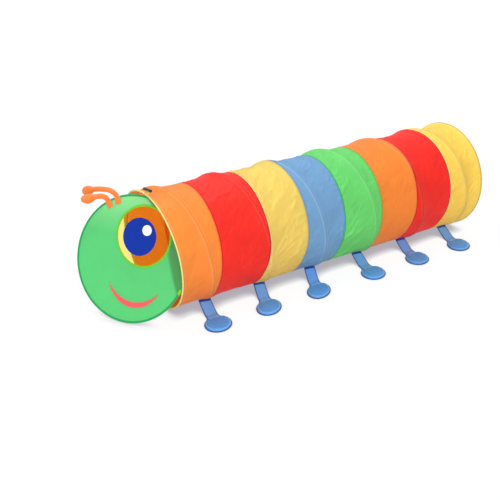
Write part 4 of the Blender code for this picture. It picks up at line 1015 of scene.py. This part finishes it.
def antennaWidth(share, length, given):
    bulbStart = 1 - given["bulbLength"] / length
    stalk = antennaMake["stalk"]
    neck = antennaMake["seam"] + (stalk - antennaMake["seam"]) * smoothStep(share / antennaMake["neck"])
    along = np.clip((share - bulbStart) / (1 - bulbStart), 0, 1)
    # a pear: fullest towards its end
    bulb = given["bulb"] * np.sqrt(np.clip(1 - (2 * along ** antennaMake["pear"] - 1) ** 2, 0, 1))
    shaftEnd, shaftFade = antennaMake["shaftEnds"]
    shaft = stalk * (1 - smoothStep((along - shaftEnd) / shaftFade))
    joined = (bulb ** 4 + shaft ** 4) ** 0.25    # rounds the join of bulb and stalk
    return np.where(share < antennaMake["neck"], neck, np.maximum(joined, antennaMake["tip"]))


def antennaStart(side):
    # The way out from the head's middle, through the middle of a flat
    return tau * (antennae[side]["facet"] + 0.5) / head["facets"]


def makeAntenna(side):
    # A stuffed tube along a bending line, with stations closer together at both ends
    given, make, start = antennae[side], antennaMake, antennaStart(side)
    length, even = given["length"], np.linspace(0, 1, make["stations"])
    reach = head["radius"] * math.cos(math.pi / head["facets"]) + tunnel["seat"]
    share = 0.5 * (0.5 - 0.5 * np.cos(math.pi * even)) + 0.5 * even

    def heading(at):
        settled = given["lead"] + (1 - given["lead"]) * smoothStep(at / given["settle"])
        return start + (given["heading"] - start) * settled + given["bend"] * at

    middle = heading((share[1:] + share[:-1]) / 2)
    steps = np.stack([np.cos(middle), np.sin(middle)], -1) * length * np.diff(share)[:, None]
    base = np.array([reach * math.cos(start), reach * math.sin(start)])
    place = base + np.r_[np.zeros((1, 2)), np.cumsum(steps, 0)]
    width = antennaWidth(share, length, given)
    turn = heading(share)
    around = tau * (np.arange(make["sides"]) + 0.5) / make["sides"]
    rng = np.random.RandomState(given["seed"])
    wide = np.where(share < make["neck"], np.maximum(width, make["stalk"]), width)
    # folds on the inside of the bend, and puckers where the bulb is gathered in
    bulbStart = 1 - given["bulbLength"] / length
    foldWave = np.cos(tau * length * share / make["foldPitch"] + 1.5 * np.sin(9 * share))
    onStalk = smoothStep((share - make["foldFrom"]) / make["foldFade"]) * smoothStep(
        (bulbStart + make["foldTo"] - share) / make["foldFade"])
    folds = -make["folds"] * np.maximum(0, foldWave)[:, None] * onStalk[:, None]
    folds = folds * smoothStep(0.5 + np.cos(around))[None]
    atNeck = np.exp(-((share - bulbStart - make["puckerAt"]) / make["puckerReach"]) ** 2)
    puckers = make["puckers"] * atNeck[:, None] * np.cos(make["puckerWaves"] * around)[None]
    onBulb = smoothStep((share - bulbStart) / make["foldFade"])[:, None]
    lumps = make["lumps"] * driftField(rng, around[None], share[:, None], shortest=make["lumpSize"]) * onBulb
    fromSeam = np.minimum(around, tau - around)
    seam = -make["seamDip"] * np.exp(-(fromSeam / make["seamWidth"]) ** 2)[None]
    seam = seam * smoothStep(share / make["seamFrom"])[:, None]
    swell = np.where(width[:, None] > make["plain"], 1 + folds + puckers + lumps + seam, 1.0)
    aside = wide[:, None] * swell * np.cos(around)
    u = place[:, :1] - np.sin(turn)[:, None] * aside
    v = place[:, 1:] + np.cos(turn)[:, None] * aside
    w = given["forward"] * share[:, None] ** 2 + width[:, None] * swell * np.sin(around)
    piece = gridObject("antenna_%s_plush" % side, headPoint(u, v, w, False), plush, caps=True, sharp=60)
    assign(piece, "antenna_" + side, "antenna_plush", "antenna_" + side)


def makeAntennaPatch(side):
    # A square of the same cloth, hemmed and sewn down all round over the antenna's end
    start, low = antennaStart(side), hoopHalf + gap
    length, width, wall = (antennaMake[key] for key in ("patchLength", "patchWidth", "patchWall"))

    def onPatch(across, along, height):
        # across and along count from -1 to 1 over the patch
        r, a = head["radius"] - length / 2 + along * length / 2, across * width / 2
        return headPoint(r * math.cos(start) - a * math.sin(start), r * math.sin(start) + a * math.cos(start),
                         height, False)

    s = np.linspace(-1, 1, 33)
    grid = []
    for front in (1, -1):
        for t in (s if front > 0 else s[::-1]):
            away = np.minimum(1 - np.abs(s), 1 - abs(t)) * width / 2
            height = low + (wall * smoothStep(away / 0.0010) + 0.0012 * smoothStep((away - 0.002) / 0.008)
                            if front > 0 else 0 * away)
            rounded = 1 - 0.04 * (abs(t) ** 6) * np.abs(s) ** 6
            grid.append(onPatch(s * rounded, t * rounded, height))
    piece = gridObject("antenna_patch_%s_cloth" % side, np.array(grid), plush, wrapAlong=True, wrapAcross=False,
                       merge=1e-7)
    rideHead(piece, "antenna_plush", "antenna_patch_" + side)
    border = np.r_[np.stack([s, 0 * s - 1], -1), np.stack([0 * s + 1, s], -1), np.stack([-s, 0 * s + 1], -1),
                   np.stack([0 * s - 1, -s], -1)] * (1 - 0.0016 / (width / 2))
    headStitches("antenna_patch_%s_stitches" % side, [onPatch(border[:, 0], border[:, 1], low + wall)],
                 "antenna_plush", antennaMake["thread"], pitch=0.0045, length=0.0034)


for side in antennae:
    makeAntenna(side)
    makeAntennaPatch(side)
print("antennae made")

# Toggle on its tab, over the top of the mouth

toggle = {"length": 0.060, "radius": 0.0055, "endRadius": 0.0028, "endTaper": 0.0028, "waist": 0.0054, "loop": 0.0030,
          "waistLength": 0.024, "waistTaper": 0.0014, "aside": -0.025, "turn": math.radians(-9), "rise": 0.020,
          "tabWidth": 0.017, "tabWall": 0.0010, "colour": "#141416", "webbing": "#F6C93A", "thread": "#D9A520",
          "stitchRows": (0.0035, 0.0095), "grooveAt": 0.0050, "groove": 0.0004}
# on top of the mouth's binding, at the middle of a flat of the CAD's 24-sided rim
bindingTop = tunnel["axis"] + (tunnel["rim"] + tunnel["seat"] + bindingMake["wall"]) * math.cos(math.pi / 24)
toggleBase = np.array([-math.tan(tunnel["mouthLean"]) * (bindingTop - tunnel["axis"]) + 0.003 + tunnel["mouthX"],
                       toggle["aside"] + tunnel["middleY"], bindingTop + tunnel["seat"] + toggle["tabWall"] / 2])


def makeToggle():
    # A bar turned round its length: rounded ends, a groove near each, a slightly narrower middle
    half, waist = toggle["length"] / 2, toggle["waistLength"] / 2
    ends = [(-half + toggle["endTaper"] * (1 - math.cos(a)), toggle["endRadius"]
             + (toggle["radius"] - toggle["endRadius"]) * math.sin(a)) for a in np.linspace(0, math.pi / 2, 9)]
    grooveAt, groove = toggle["grooveAt"], toggle["radius"] - toggle["groove"]
    ring = [(-half + grooveAt, toggle["radius"]), (-half + grooveAt + 0.0003, groove),
            (-half + grooveAt + 0.0009, groove), (-half + grooveAt + 0.0012, toggle["radius"])]
    neck = [(-waist + toggle["waistTaper"] * t, toggle["radius"] - (toggle["radius"] - toggle["waist"])
             * float(smoothStep(t))) for t in np.linspace(0, 1, 7)]
    side = [(-half, toggle["endRadius"] * 0.35), (-half, toggle["endRadius"] * 0.8)] + ends + ring + neck
    profile = np.array(side + [(-s, r) for s, r in reversed(side)])
    around = roundSteps(48)
    along, radius = profile[:, :1], profile[:, 1:]
    x, z = radius * np.cos(around), radius * np.sin(around)
    y = np.broadcast_to(along, x.shape)
    turn = toggle["turn"]
    grid = toggleBase + np.stack([x, y * math.cos(turn) - z * math.sin(turn),
                                  y * math.sin(turn) + z * math.cos(turn) + toggle["rise"]], -1)
    # Injection-moulded nylon: black, satin from a lightly sparked mould, a little glossier in patches
    nylon = plainSurface("black_moulded_nylon", {"colour": toggle["colour"], "roughness": 0.38, "grain": 700.0,
                                                 "relief": 0.12, "uneven": 0.08})
    piece = gridObject("toggle_bar", grid, nylon, caps=True, sharp=40)
    assign(piece, "toggle", "toggle_plastic", "toggle")


def makeTab():
    # Webbing: up from the binding into the slot in the bar and down again, edges slightly rounded
    width, wall = toggle["tabWidth"], toggle["tabWall"]
    radius = toggle["loop"] + wall / 2
    apart = wall * 0.52
    mouth = math.asin(apart / radius)
    arc = np.linspace(-math.pi / 2 + mouth, 1.5 * math.pi - mouth, 49)
    stemLow, stemTop = 0.0002, toggle["rise"] + radius * math.sin(arc[0])
    heights = [stemLow + (stemTop - stemLow) * t for t in np.linspace(0.0, 1.0, 9)[:-1]]
    path = np.array([(apart, height) for height in heights]
                    + [(radius * math.cos(a), toggle["rise"] + radius * math.sin(a)) for a in arc]
                    + [(-apart, height) for height in heights[::-1]])
    tangent = np.gradient(path, axis=0)
    tangent /= np.linalg.norm(tangent, axis=1)[:, None]
    normal = np.stack([tangent[:, 1], -tangent[:, 0]], -1)
    section = closedProfile([(-width / 2, -wall / 2), (width / 2, -wall / 2), (width / 2, wall / 2),
                             (-width / 2, wall / 2)])
    y = np.broadcast_to(section[:, 0], (len(path), len(section)))
    xz = path[:, None] + normal[:, None] * section[None, :, 1:]
    grid = toggleBase + np.stack([xz[..., 0], y, xz[..., 1]], -1)
    webbing = wovenCloth("yellow_webbing", {"colour": toggle["webbing"], "thread": 0.0024, "relief": 0.6,
                                            "roughness": 0.6})
    piece = gridObject("toggle_tab_webbing", grid, webbing, caps=True)
    s = np.linspace(-width / 2 + 0.002, width / 2 - 0.002, 9)
    rows = [toggleBase + np.stack([0 * s - apart - wall / 2, s, 0 * s + z], -1) for z in toggle["stitchRows"]]
    sewn = sew("toggle_tab_stitches", rows, [np.tile([-1.0, 0.0, 0.0], (len(s), 1)) for _ in rows],
               thread("tab_thread", toggle["thread"]), pitch=0.0030, length=0.0023, thickness=0.0006)
    assign(piece, "toggle", "tab_webbing", "toggle_tab")
    assign(sewn, "toggle", "tab_webbing")


makeToggle()
makeTab()
print("toggle made")

# Legs: a flat strap and a stuffed foot, two layers of cloth bound together round their edge

legs = {
    "first": 0.158, "last": 0.1055, "leans": [0.027, 0.050, 0.060, 0.026, 0.030, 0.032],
    "strapHalf": 0.024, "strapWall": 0.0030, "reach": 0.093, "touchdown": 0.072, "footRadius": 0.054,
    "height": 0.012, "rimHeight": 0.0035, "rows": 17, "pucker": 0.0009, "puckers": 26,
    "puff": 0.013, "rounding": 0.0016,    # how far in from the edge the foot and the strap reach their full height
    "seamInset": 0.0065, "seamWidth": 0.0016, "seamDepth": 0.0022,    # the row of stitches inside the foot's edge
    "creases": ((0.0, 3.0, 0.0024, 0.0050), (0.011, 7.0, 0.0030, 0.0026)),    # place, bow, width and depth
    "fillet": 0.014, "puckerDrift": 1.3, "puckerReach": 0.012, "puckerRise": 0.003, "crownFall": 0.1,
    "blendFrom": 0.001, "blend": 0.004, "seamShare": 0.8, "underRound": 0.006, "rootFade": 0.035,
    "straight": 0.75, "curve": 2.4, "landing": 0.012,    # how the strap comes down to the floor
    "spineFrom": 0.02, "rowBias": 1.35, "lumps": 0.05, "lumpSize": 0.05, "joinFrom": 0.004, "join": 0.012,
    "pipingOut": 1.02, "arcHalf": 0.4, "arcInset": 0.0006, "strapRun": (0.006, 0.004), "strapInset": 0.0032,
    "rootRow": 0.0042, "rootHalf": 0.02, "stitchLift": 0.0001, "stitchAway": 0.005,
    "ankle": 0.80, "flank": 30, "gap": 0.0016, "pipingRadius": 0.0019,
    "foldWith": [0, 2, 3, 4, 6, 7],    # the seam where the section that carries each pair starts
    # rim and crease are colours of painted light and shade: a painted highlight inside the edge and beside the ankle
    # crease, and painted shade in that crease
    "strap": "#6EAAF2", "foot": "#4F98E0", "rim": "#86BEF6", "crease": "#2F6CB8", "edge": "#16389A",
    "thread": "#3E74CC",
}
legSpacing = (tunnelLength - legs["first"] - legs["last"]) / 5
footMiddle = legs["reach"] + legs["footRadius"]


def legOutline():
    # Distance from the hinge and offset along the leg's edge, once round from the middle of the strap's sewn end
    half, radius = legs["strapHalf"], legs["footRadius"]
    join = footMiddle - math.sqrt(radius ** 2 - half ** 2)
    strap = np.stack([np.linspace(0, join, 34), np.full(34, half)], -1)
    start = math.atan2(half, join - footMiddle)
    arc = np.linspace(start, 0, 68)[1:]
    foot = np.stack([footMiddle + radius * np.cos(arc), radius * np.sin(arc)], -1)
    side = np.r_[strap, foot]
    # a small fillet where the strap meets the foot
    for _ in range(14):
        near = np.abs(side[:, 0] - join) < legs["fillet"]
        smoothed = side.copy()
        smoothed[1:-1] = (side[:-2] + side[2:]) / 2
        side[near] = smoothed[near]
    root = np.stack([np.zeros(12), np.linspace(0, half, 13)[:-1]], -1)
    side = np.r_[root, side]
    return np.r_[side, (side * [1, -1])[::-1][1:-1]]


def legHeights(s, t, fromEdge):
    # Underside and top of a leg on the floor: a thin strap that runs into a puffed foot
    radius = legs["footRadius"]
    distance, angle = np.sqrt((s - footMiddle) ** 2 + t ** 2), np.arctan2(t, s - footMiddle)
    inDisc = np.clip((radius - distance) / legs["puff"], 0, 1)
    swell = np.sqrt(1 - (1 - inDisc) ** 2)
    wave = 0.5 + 0.5 * np.cos(legs["puckers"] * angle + legs["puckerDrift"] * np.sin(5 * angle))
    pucker = legs["pucker"] * wave * np.exp(-((radius - distance) / legs["puckerReach"])) * smoothStep(
        (radius - distance) / legs["puckerRise"])
    crown = (legs["height"] - legs["rimHeight"]) * (1 - legs["crownFall"] * np.clip(distance / radius, 0, 1) ** 2)
    seamed = legs["seamDepth"] * np.exp(-((radius - distance - legs["seamInset"]) / legs["seamWidth"]) ** 2)
    ankle = footMiddle - radius * legs["ankle"]
    creaseShading = sum(depth * np.exp(-((s - ankle - at - bow * t * t) / width) ** 2)
                  for at, bow, width, depth in legs["creases"])
    foot = legs["rimHeight"] + crown * swell - pucker - seamed - creaseShading * swell
    rounded = np.sqrt(1 - (1 - np.clip(fromEdge / legs["rounding"], 0, 1)) ** 2)
    strap = legs["strapWall"] * (0.5 + 0.5 * rounded)
    onFoot = smoothStep((radius - distance + legs["blendFrom"]) / legs["blend"])
    top = strap * (1 - onFoot) + np.maximum(foot, strap) * onFoot
    seam = 0.5 * legs["strapWall"] * (1 - onFoot) + legs["rimHeight"] * legs["seamShare"] * onFoot
    fromRim = np.sqrt(1 - (1 - np.clip(fromEdge / legs["underRound"], 0, 1)) ** 2)
    under = np.where(onFoot > 0.5, seam * (1 - fromRim), (0.5 - 0.5 * rounded) * legs["strapWall"])
    return under, top, seam


def legPlace(index, side, s, t, z):
    # From a leg's own flat shape to its place: down from the tube's flank, then out over the floor
    x, flank = legs["first"] + legSpacing * index, math.radians(270 + legs["flank"] * side)
    s, t, z = np.broadcast_arrays(np.asarray(s, float), t, z)

    def onCloth(along):
        angle = np.full(np.shape(along), flank)
        return tubePoint(along, clothLine(angle, along)[0] + legs["gap"], angle)

    hinge = onCloth(np.array([x]))[0]
    edge = onCloth(x + t)
    fade = 1 - smoothStep(s / legs["rootFade"])
    lean = legs["leans"][index] / footMiddle
    drop = np.clip(1 - s / legs["touchdown"], 0, 1)
    base = (hinge[2] - legs["strapWall"] / 2) * (
        legs["straight"] * drop + (1 - legs["straight"]) * drop ** legs["curve"])
    base = base * smoothStep((legs["touchdown"] + legs["landing"] / 2 - s) / legs["landing"] + 0.5)
    place = np.stack([hinge[0] - lean * s + t, hinge[1] + side * s + (edge[..., 1] - hinge[1]) * fade,
                      base + z + (edge[..., 2] - hinge[2]) * fade], -1)
    place[..., 2] = np.maximum(place[..., 2], 0.0)
    return place


# Polyester cloth with a short brushed nap over a little filling: matt, with soft light edges
legCloth = {"colour": legs["foot"], "through": 0.0, "roughness": 0.7, "sheen": 0.3, "relief": 0.45, "fuzz": 1.4,
            "mottle": 0.05, "bands": [
                {"from": "strap", "width": 0.5, "soft": 0.4, "colour": legs["strap"]},
                # a lighter ring just inside the edge: painted highlight
                {"from": "fromEdge", "width": 0.0058, "soft": 0.0015, "colour": legs["rim"]},
                {"from": "fromEdge", "width": 0.0030, "soft": 0.0010, "colour": legs["foot"]},
                # either side of the ankle crease a lighter strip, painted highlight, and along its middle a dark line,
                # painted shade in the crease
                {"from": "ankle", "width": 0.0052, "soft": 0.0030, "colour": legs["rim"], "both": True},
                {"from": "ankle", "width": 0.0014, "soft": 0.0016, "colour": legs["crease"], "both": True},
                {"from": "sewnEnd", "width": 0.009, "soft": 0.0012, "colour": legs["edge"]}]}
footCloth = wovenCloth("blue_brushed_polyester", legCloth)
navyTape = wovenCloth("navy_overlock_edge", {"colour": legs["edge"], "through": 0.0, "roughness": 0.7,
                                             "sheen": 0.2, "thread": 0.0012, "relief": 0.5})
navyThread = thread("navy_thread", legs["thread"])


def makeLeg(index, side):
    # Rows of points from the edge in to the leg's spine, over the top and back underneath
    outline, radius = legOutline(), legs["footRadius"]
    spine = np.stack([np.clip(outline[:, 0], legs["spineFrom"], footMiddle), 0 * outline[:, 0]], -1)
    share = np.linspace(0, 1, legs["rows"]) ** legs["rowBias"]
    flat = outline[:, None] + (spine - outline)[:, None] * share[None, :, None]
    fromEdge = np.linalg.norm(flat - outline[:, None], axis=-1)
    s, t = flat[..., 0], flat[..., 1]
    under, top, seam = legHeights(s, t, fromEdge)
    rng = np.random.RandomState(100 + 2 * index + (side > 0))
    uneven = 1 + legs["lumps"] * driftField(rng, 2 * t / legs["lumpSize"], s, shortest=legs["lumpSize"])
    top = under + (top - under) * np.where(s > legs["reach"], uneven, 1.0)
    s2, t2 = np.concatenate([s[:, ::-1], s[:, 1:]], 1), np.concatenate([t[:, ::-1], t[:, 1:]], 1)
    height = np.concatenate([top[:, ::-1], under[:, 1:]], 1)
    height[:, legs["rows"] - 1] = seam[:, 0]
    grid = legPlace(index, side, s2, t2, height)
    onStrap = smoothStep((s2 - legs["reach"] + legs["joinFrom"]) / legs["join"])
    edgeway = np.concatenate([fromEdge[:, ::-1], fromEdge[:, 1:]], 1)
    edgeway = edgeway + np.where(s2 < legs["reach"] + legs["join"], 1.0, 0.0)
    bow = legs["creases"][0][1]
    ankle = s2 - (footMiddle - legs["ankle"] * radius) - bow * t2 * t2    # from the arc where the foot creases
    name = "leg_%s_%d" % ("left" if side < 0 else "right", index + 1)
    body = gridObject(name + "_plush", grid, footCloth, wrapAlong=True, wrapAcross=False,
                      values={"strap": onStrap, "sewnEnd": np.maximum(s2, 0.0), "fromEdge": edgeway, "ankle": ankle},
                      merge=1e-6, sharp=80)
    edge = legPlace(index, side, outline[:, 0], outline[:, 1] * legs["pipingOut"], seam[:, 0])
    edge[:, 2] = np.maximum(edge[:, 2], legs["pipingRadius"])
    piping = grow(name + "_piping", [edge], cordNodes, {"Radius": legs["pipingRadius"], "Sides": 7,
                                                        "Material": navyTape}, closed=True)
    bend = np.linspace(-legs["arcHalf"], legs["arcHalf"], 17)
    arcRadius, (runFrom, runShort) = radius - legs["arcInset"], legs["strapRun"]
    downStrap, besideEdge = np.linspace(runFrom, legs["reach"] - runShort, 30), legs["strapHalf"] - legs["strapInset"]
    runs = [(footMiddle - arcRadius * np.cos(bend), arcRadius * np.sin(bend)),
            (np.full(9, legs["rootRow"]), np.linspace(-legs["rootHalf"], legs["rootHalf"], 9)),
            (downStrap, np.full(30, besideEdge)), (downStrap, np.full(30, -besideEdge))]
    lines = []
    for runS, runT in runs:
        top = legHeights(runS, runT, np.full(len(runS), legs["stitchAway"]))[1]
        lines.append(legPlace(index, side, runS, runT, top + legs["stitchLift"]))
    sewn = sew(name + "_stitches", lines, [np.tile([0.0, 0.0, 1.0], (len(line), 1)) for line in lines], navyThread,
               pitch=0.0050, length=0.0038)
    foldAt = seams[legs["foldWith"][index]]
    assign(body, name, "leg_plush", name, foldAt=foldAt)
    for item in (piping, sewn):
        assign(item, name, "leg_plush", foldAt=foldAt)


for index in range(6):
    for side in (-1, 1):
        makeLeg(index, side)
print("legs made")

# Floor, light and camera

studio = {
    "floor": "#F2F2F8", "matt": "#D8D8D8", "shade": "#ABA9B2", "world": 0.70, "glow": 0.26, "fade": (1.6, 3.6),
    "cover": 0.055, "coverShare": 0.88,    # how near a thing paints shadow on the floor under it, and how much of the floor's look comes from that painted shadow
    "cameraAt": (-1.908, -2.6077, 1.6192), "cameraTurn": (64.325, 0.0, -33.165), "lens": 60.07,
}
lamps = {
    "soft_key": {"place": (0.2, 0.9, 3.0), "target": (0.0, 0.0, 0.2), "size": 2.0, "watts": 48.0},
    "soft_fill": {"place": (-2.4, -3.4, 2.0), "target": (-0.1, 0.0, 0.2), "size": 2.6, "watts": 92.0},
}


def makeFloor():
    work = bmesh.new()
    bmesh.ops.create_grid(work, x_segments=2, y_segments=2, size=40.0)
    mesh = bpy.data.meshes.new("floor")
    work.to_mesh(mesh)
    work.free()
    floor = bpy.data.objects.new("floor", mesh)
    bpy.context.collection.objects.link(floor)
    material = newMaterial("white_studio_floor", studio["floor"])
    ray = addNode(material, "ShaderNodeLightPath").outputs
    seen = addNode(material, "ShaderNodeMath", {0: ray["Is Camera Ray"], 1: ray["Is Glossy Ray"]}, operation="ADD")
    seen = addNode(material, "ShaderNodeMath", {0: seen, 1: ray["Is Transmission Ray"]}, operation="ADD",
                   use_clamp=True)
    matt, bright = (addNode(material, "ShaderNodeBsdfDiffuse", {"Color": linear(colour)})
                    for colour in (studio["matt"], studio["floor"]))
    place = addNode(material, "ShaderNodeTexCoord").outputs["Object"]
    away = addNode(material, "ShaderNodeVectorMath", {0: place}, operation="LENGTH").outputs["Value"]
    near, far = studio["fade"]
    rising = addNode(material, "ShaderNodeMapRange", {"Value": away, 1: near, 2: far, 3: studio["glow"], 4: 1.0})
    glow = addNode(material, "ShaderNodeEmission", {"Color": (1, 1, 1, 1), "Strength": rising})
    # the camera's view keeps the object's own soft shadow, and adds a painted shadow, from ambient occlusion, under
    # the places that it covers
    covered = addNode(material, "ShaderNodeAmbientOcclusion", {"Distance": studio["cover"]}, samples=16)
    dimmed = addNode(material, "ShaderNodeMapRange", {"Value": covered.outputs["AO"], 1: 0.35, 2: 0.97, 3: 0.0,
                                                      4: 1.0})
    plain = addNode(material, "ShaderNodeMix", {0: dimmed, 6: linear(studio["shade"]), 7: (1, 1, 1, 1)},
                    data_type="RGBA").outputs[2]
    shaded = addNode(material, "ShaderNodeEmission", {"Color": plain, "Strength": 1.0})
    lit = addNode(material, "ShaderNodeAddShader", {0: bright, 1: glow})
    lit = addNode(material, "ShaderNodeMixShader", {0: studio["coverShare"], 1: lit, 2: shaded})
    mesh.materials.append(finishMaterial(material, addNode(material, "ShaderNodeMixShader",
                                                           {0: seen, 1: matt, 2: lit})))
    floor.location = (0, 0, -0.0006)


def makeWorld():
    # White where the camera looks at it, and a dimmer even light from all round
    world = bpy.data.worlds.new("studio_light")
    bpy.context.scene.world = world
    world.use_nodes = True
    world.node_tree.nodes.clear()
    ray = addNode(world, "ShaderNodeLightPath").outputs
    seen = addNode(world, "ShaderNodeMath", {0: ray["Is Camera Ray"], 1: ray["Is Transmission Ray"]},
                   operation="MAXIMUM", use_clamp=True)
    dim, white = (addNode(world, "ShaderNodeBackground", {"Strength": strength, "Color": (1, 1, 1, 1)})
                  for strength in (studio["world"], 1.0))
    mixed = addNode(world, "ShaderNodeMixShader", {0: seen, 1: dim, 2: white})
    addNode(world, "ShaderNodeOutputWorld", {"Surface": mixed})


def makeLamp(name, place, target, size, watts):
    # A round soft lamp that faces its target
    lamp = bpy.data.lights.new(name, "AREA")
    lamp.shape, lamp.size, lamp.energy = "DISK", size, watts
    item = bpy.data.objects.new(name, lamp)
    bpy.context.collection.objects.link(item)
    item.location = place
    away = Vector(target) - Vector(place)
    item.rotation_euler = away.to_track_quat("-Z", "Y").to_euler()


def makeCamera():
    data = bpy.data.cameras.new("camera")
    data.lens, data.sensor_width, data.sensor_fit = studio["lens"], 36.0, "AUTO"
    camera = bpy.data.objects.new("camera", data)
    bpy.context.collection.objects.link(camera)
    camera.location = studio["cameraAt"]
    camera.rotation_euler = [math.radians(angle) for angle in studio["cameraTurn"]]
    bpy.context.scene.camera = camera


makeFloor()
makeWorld()
for name, given in lamps.items():
    makeLamp(name, **given)
makeCamera()
bpy.context.scene.view_settings.view_transform = "Standard"
print("studio set")
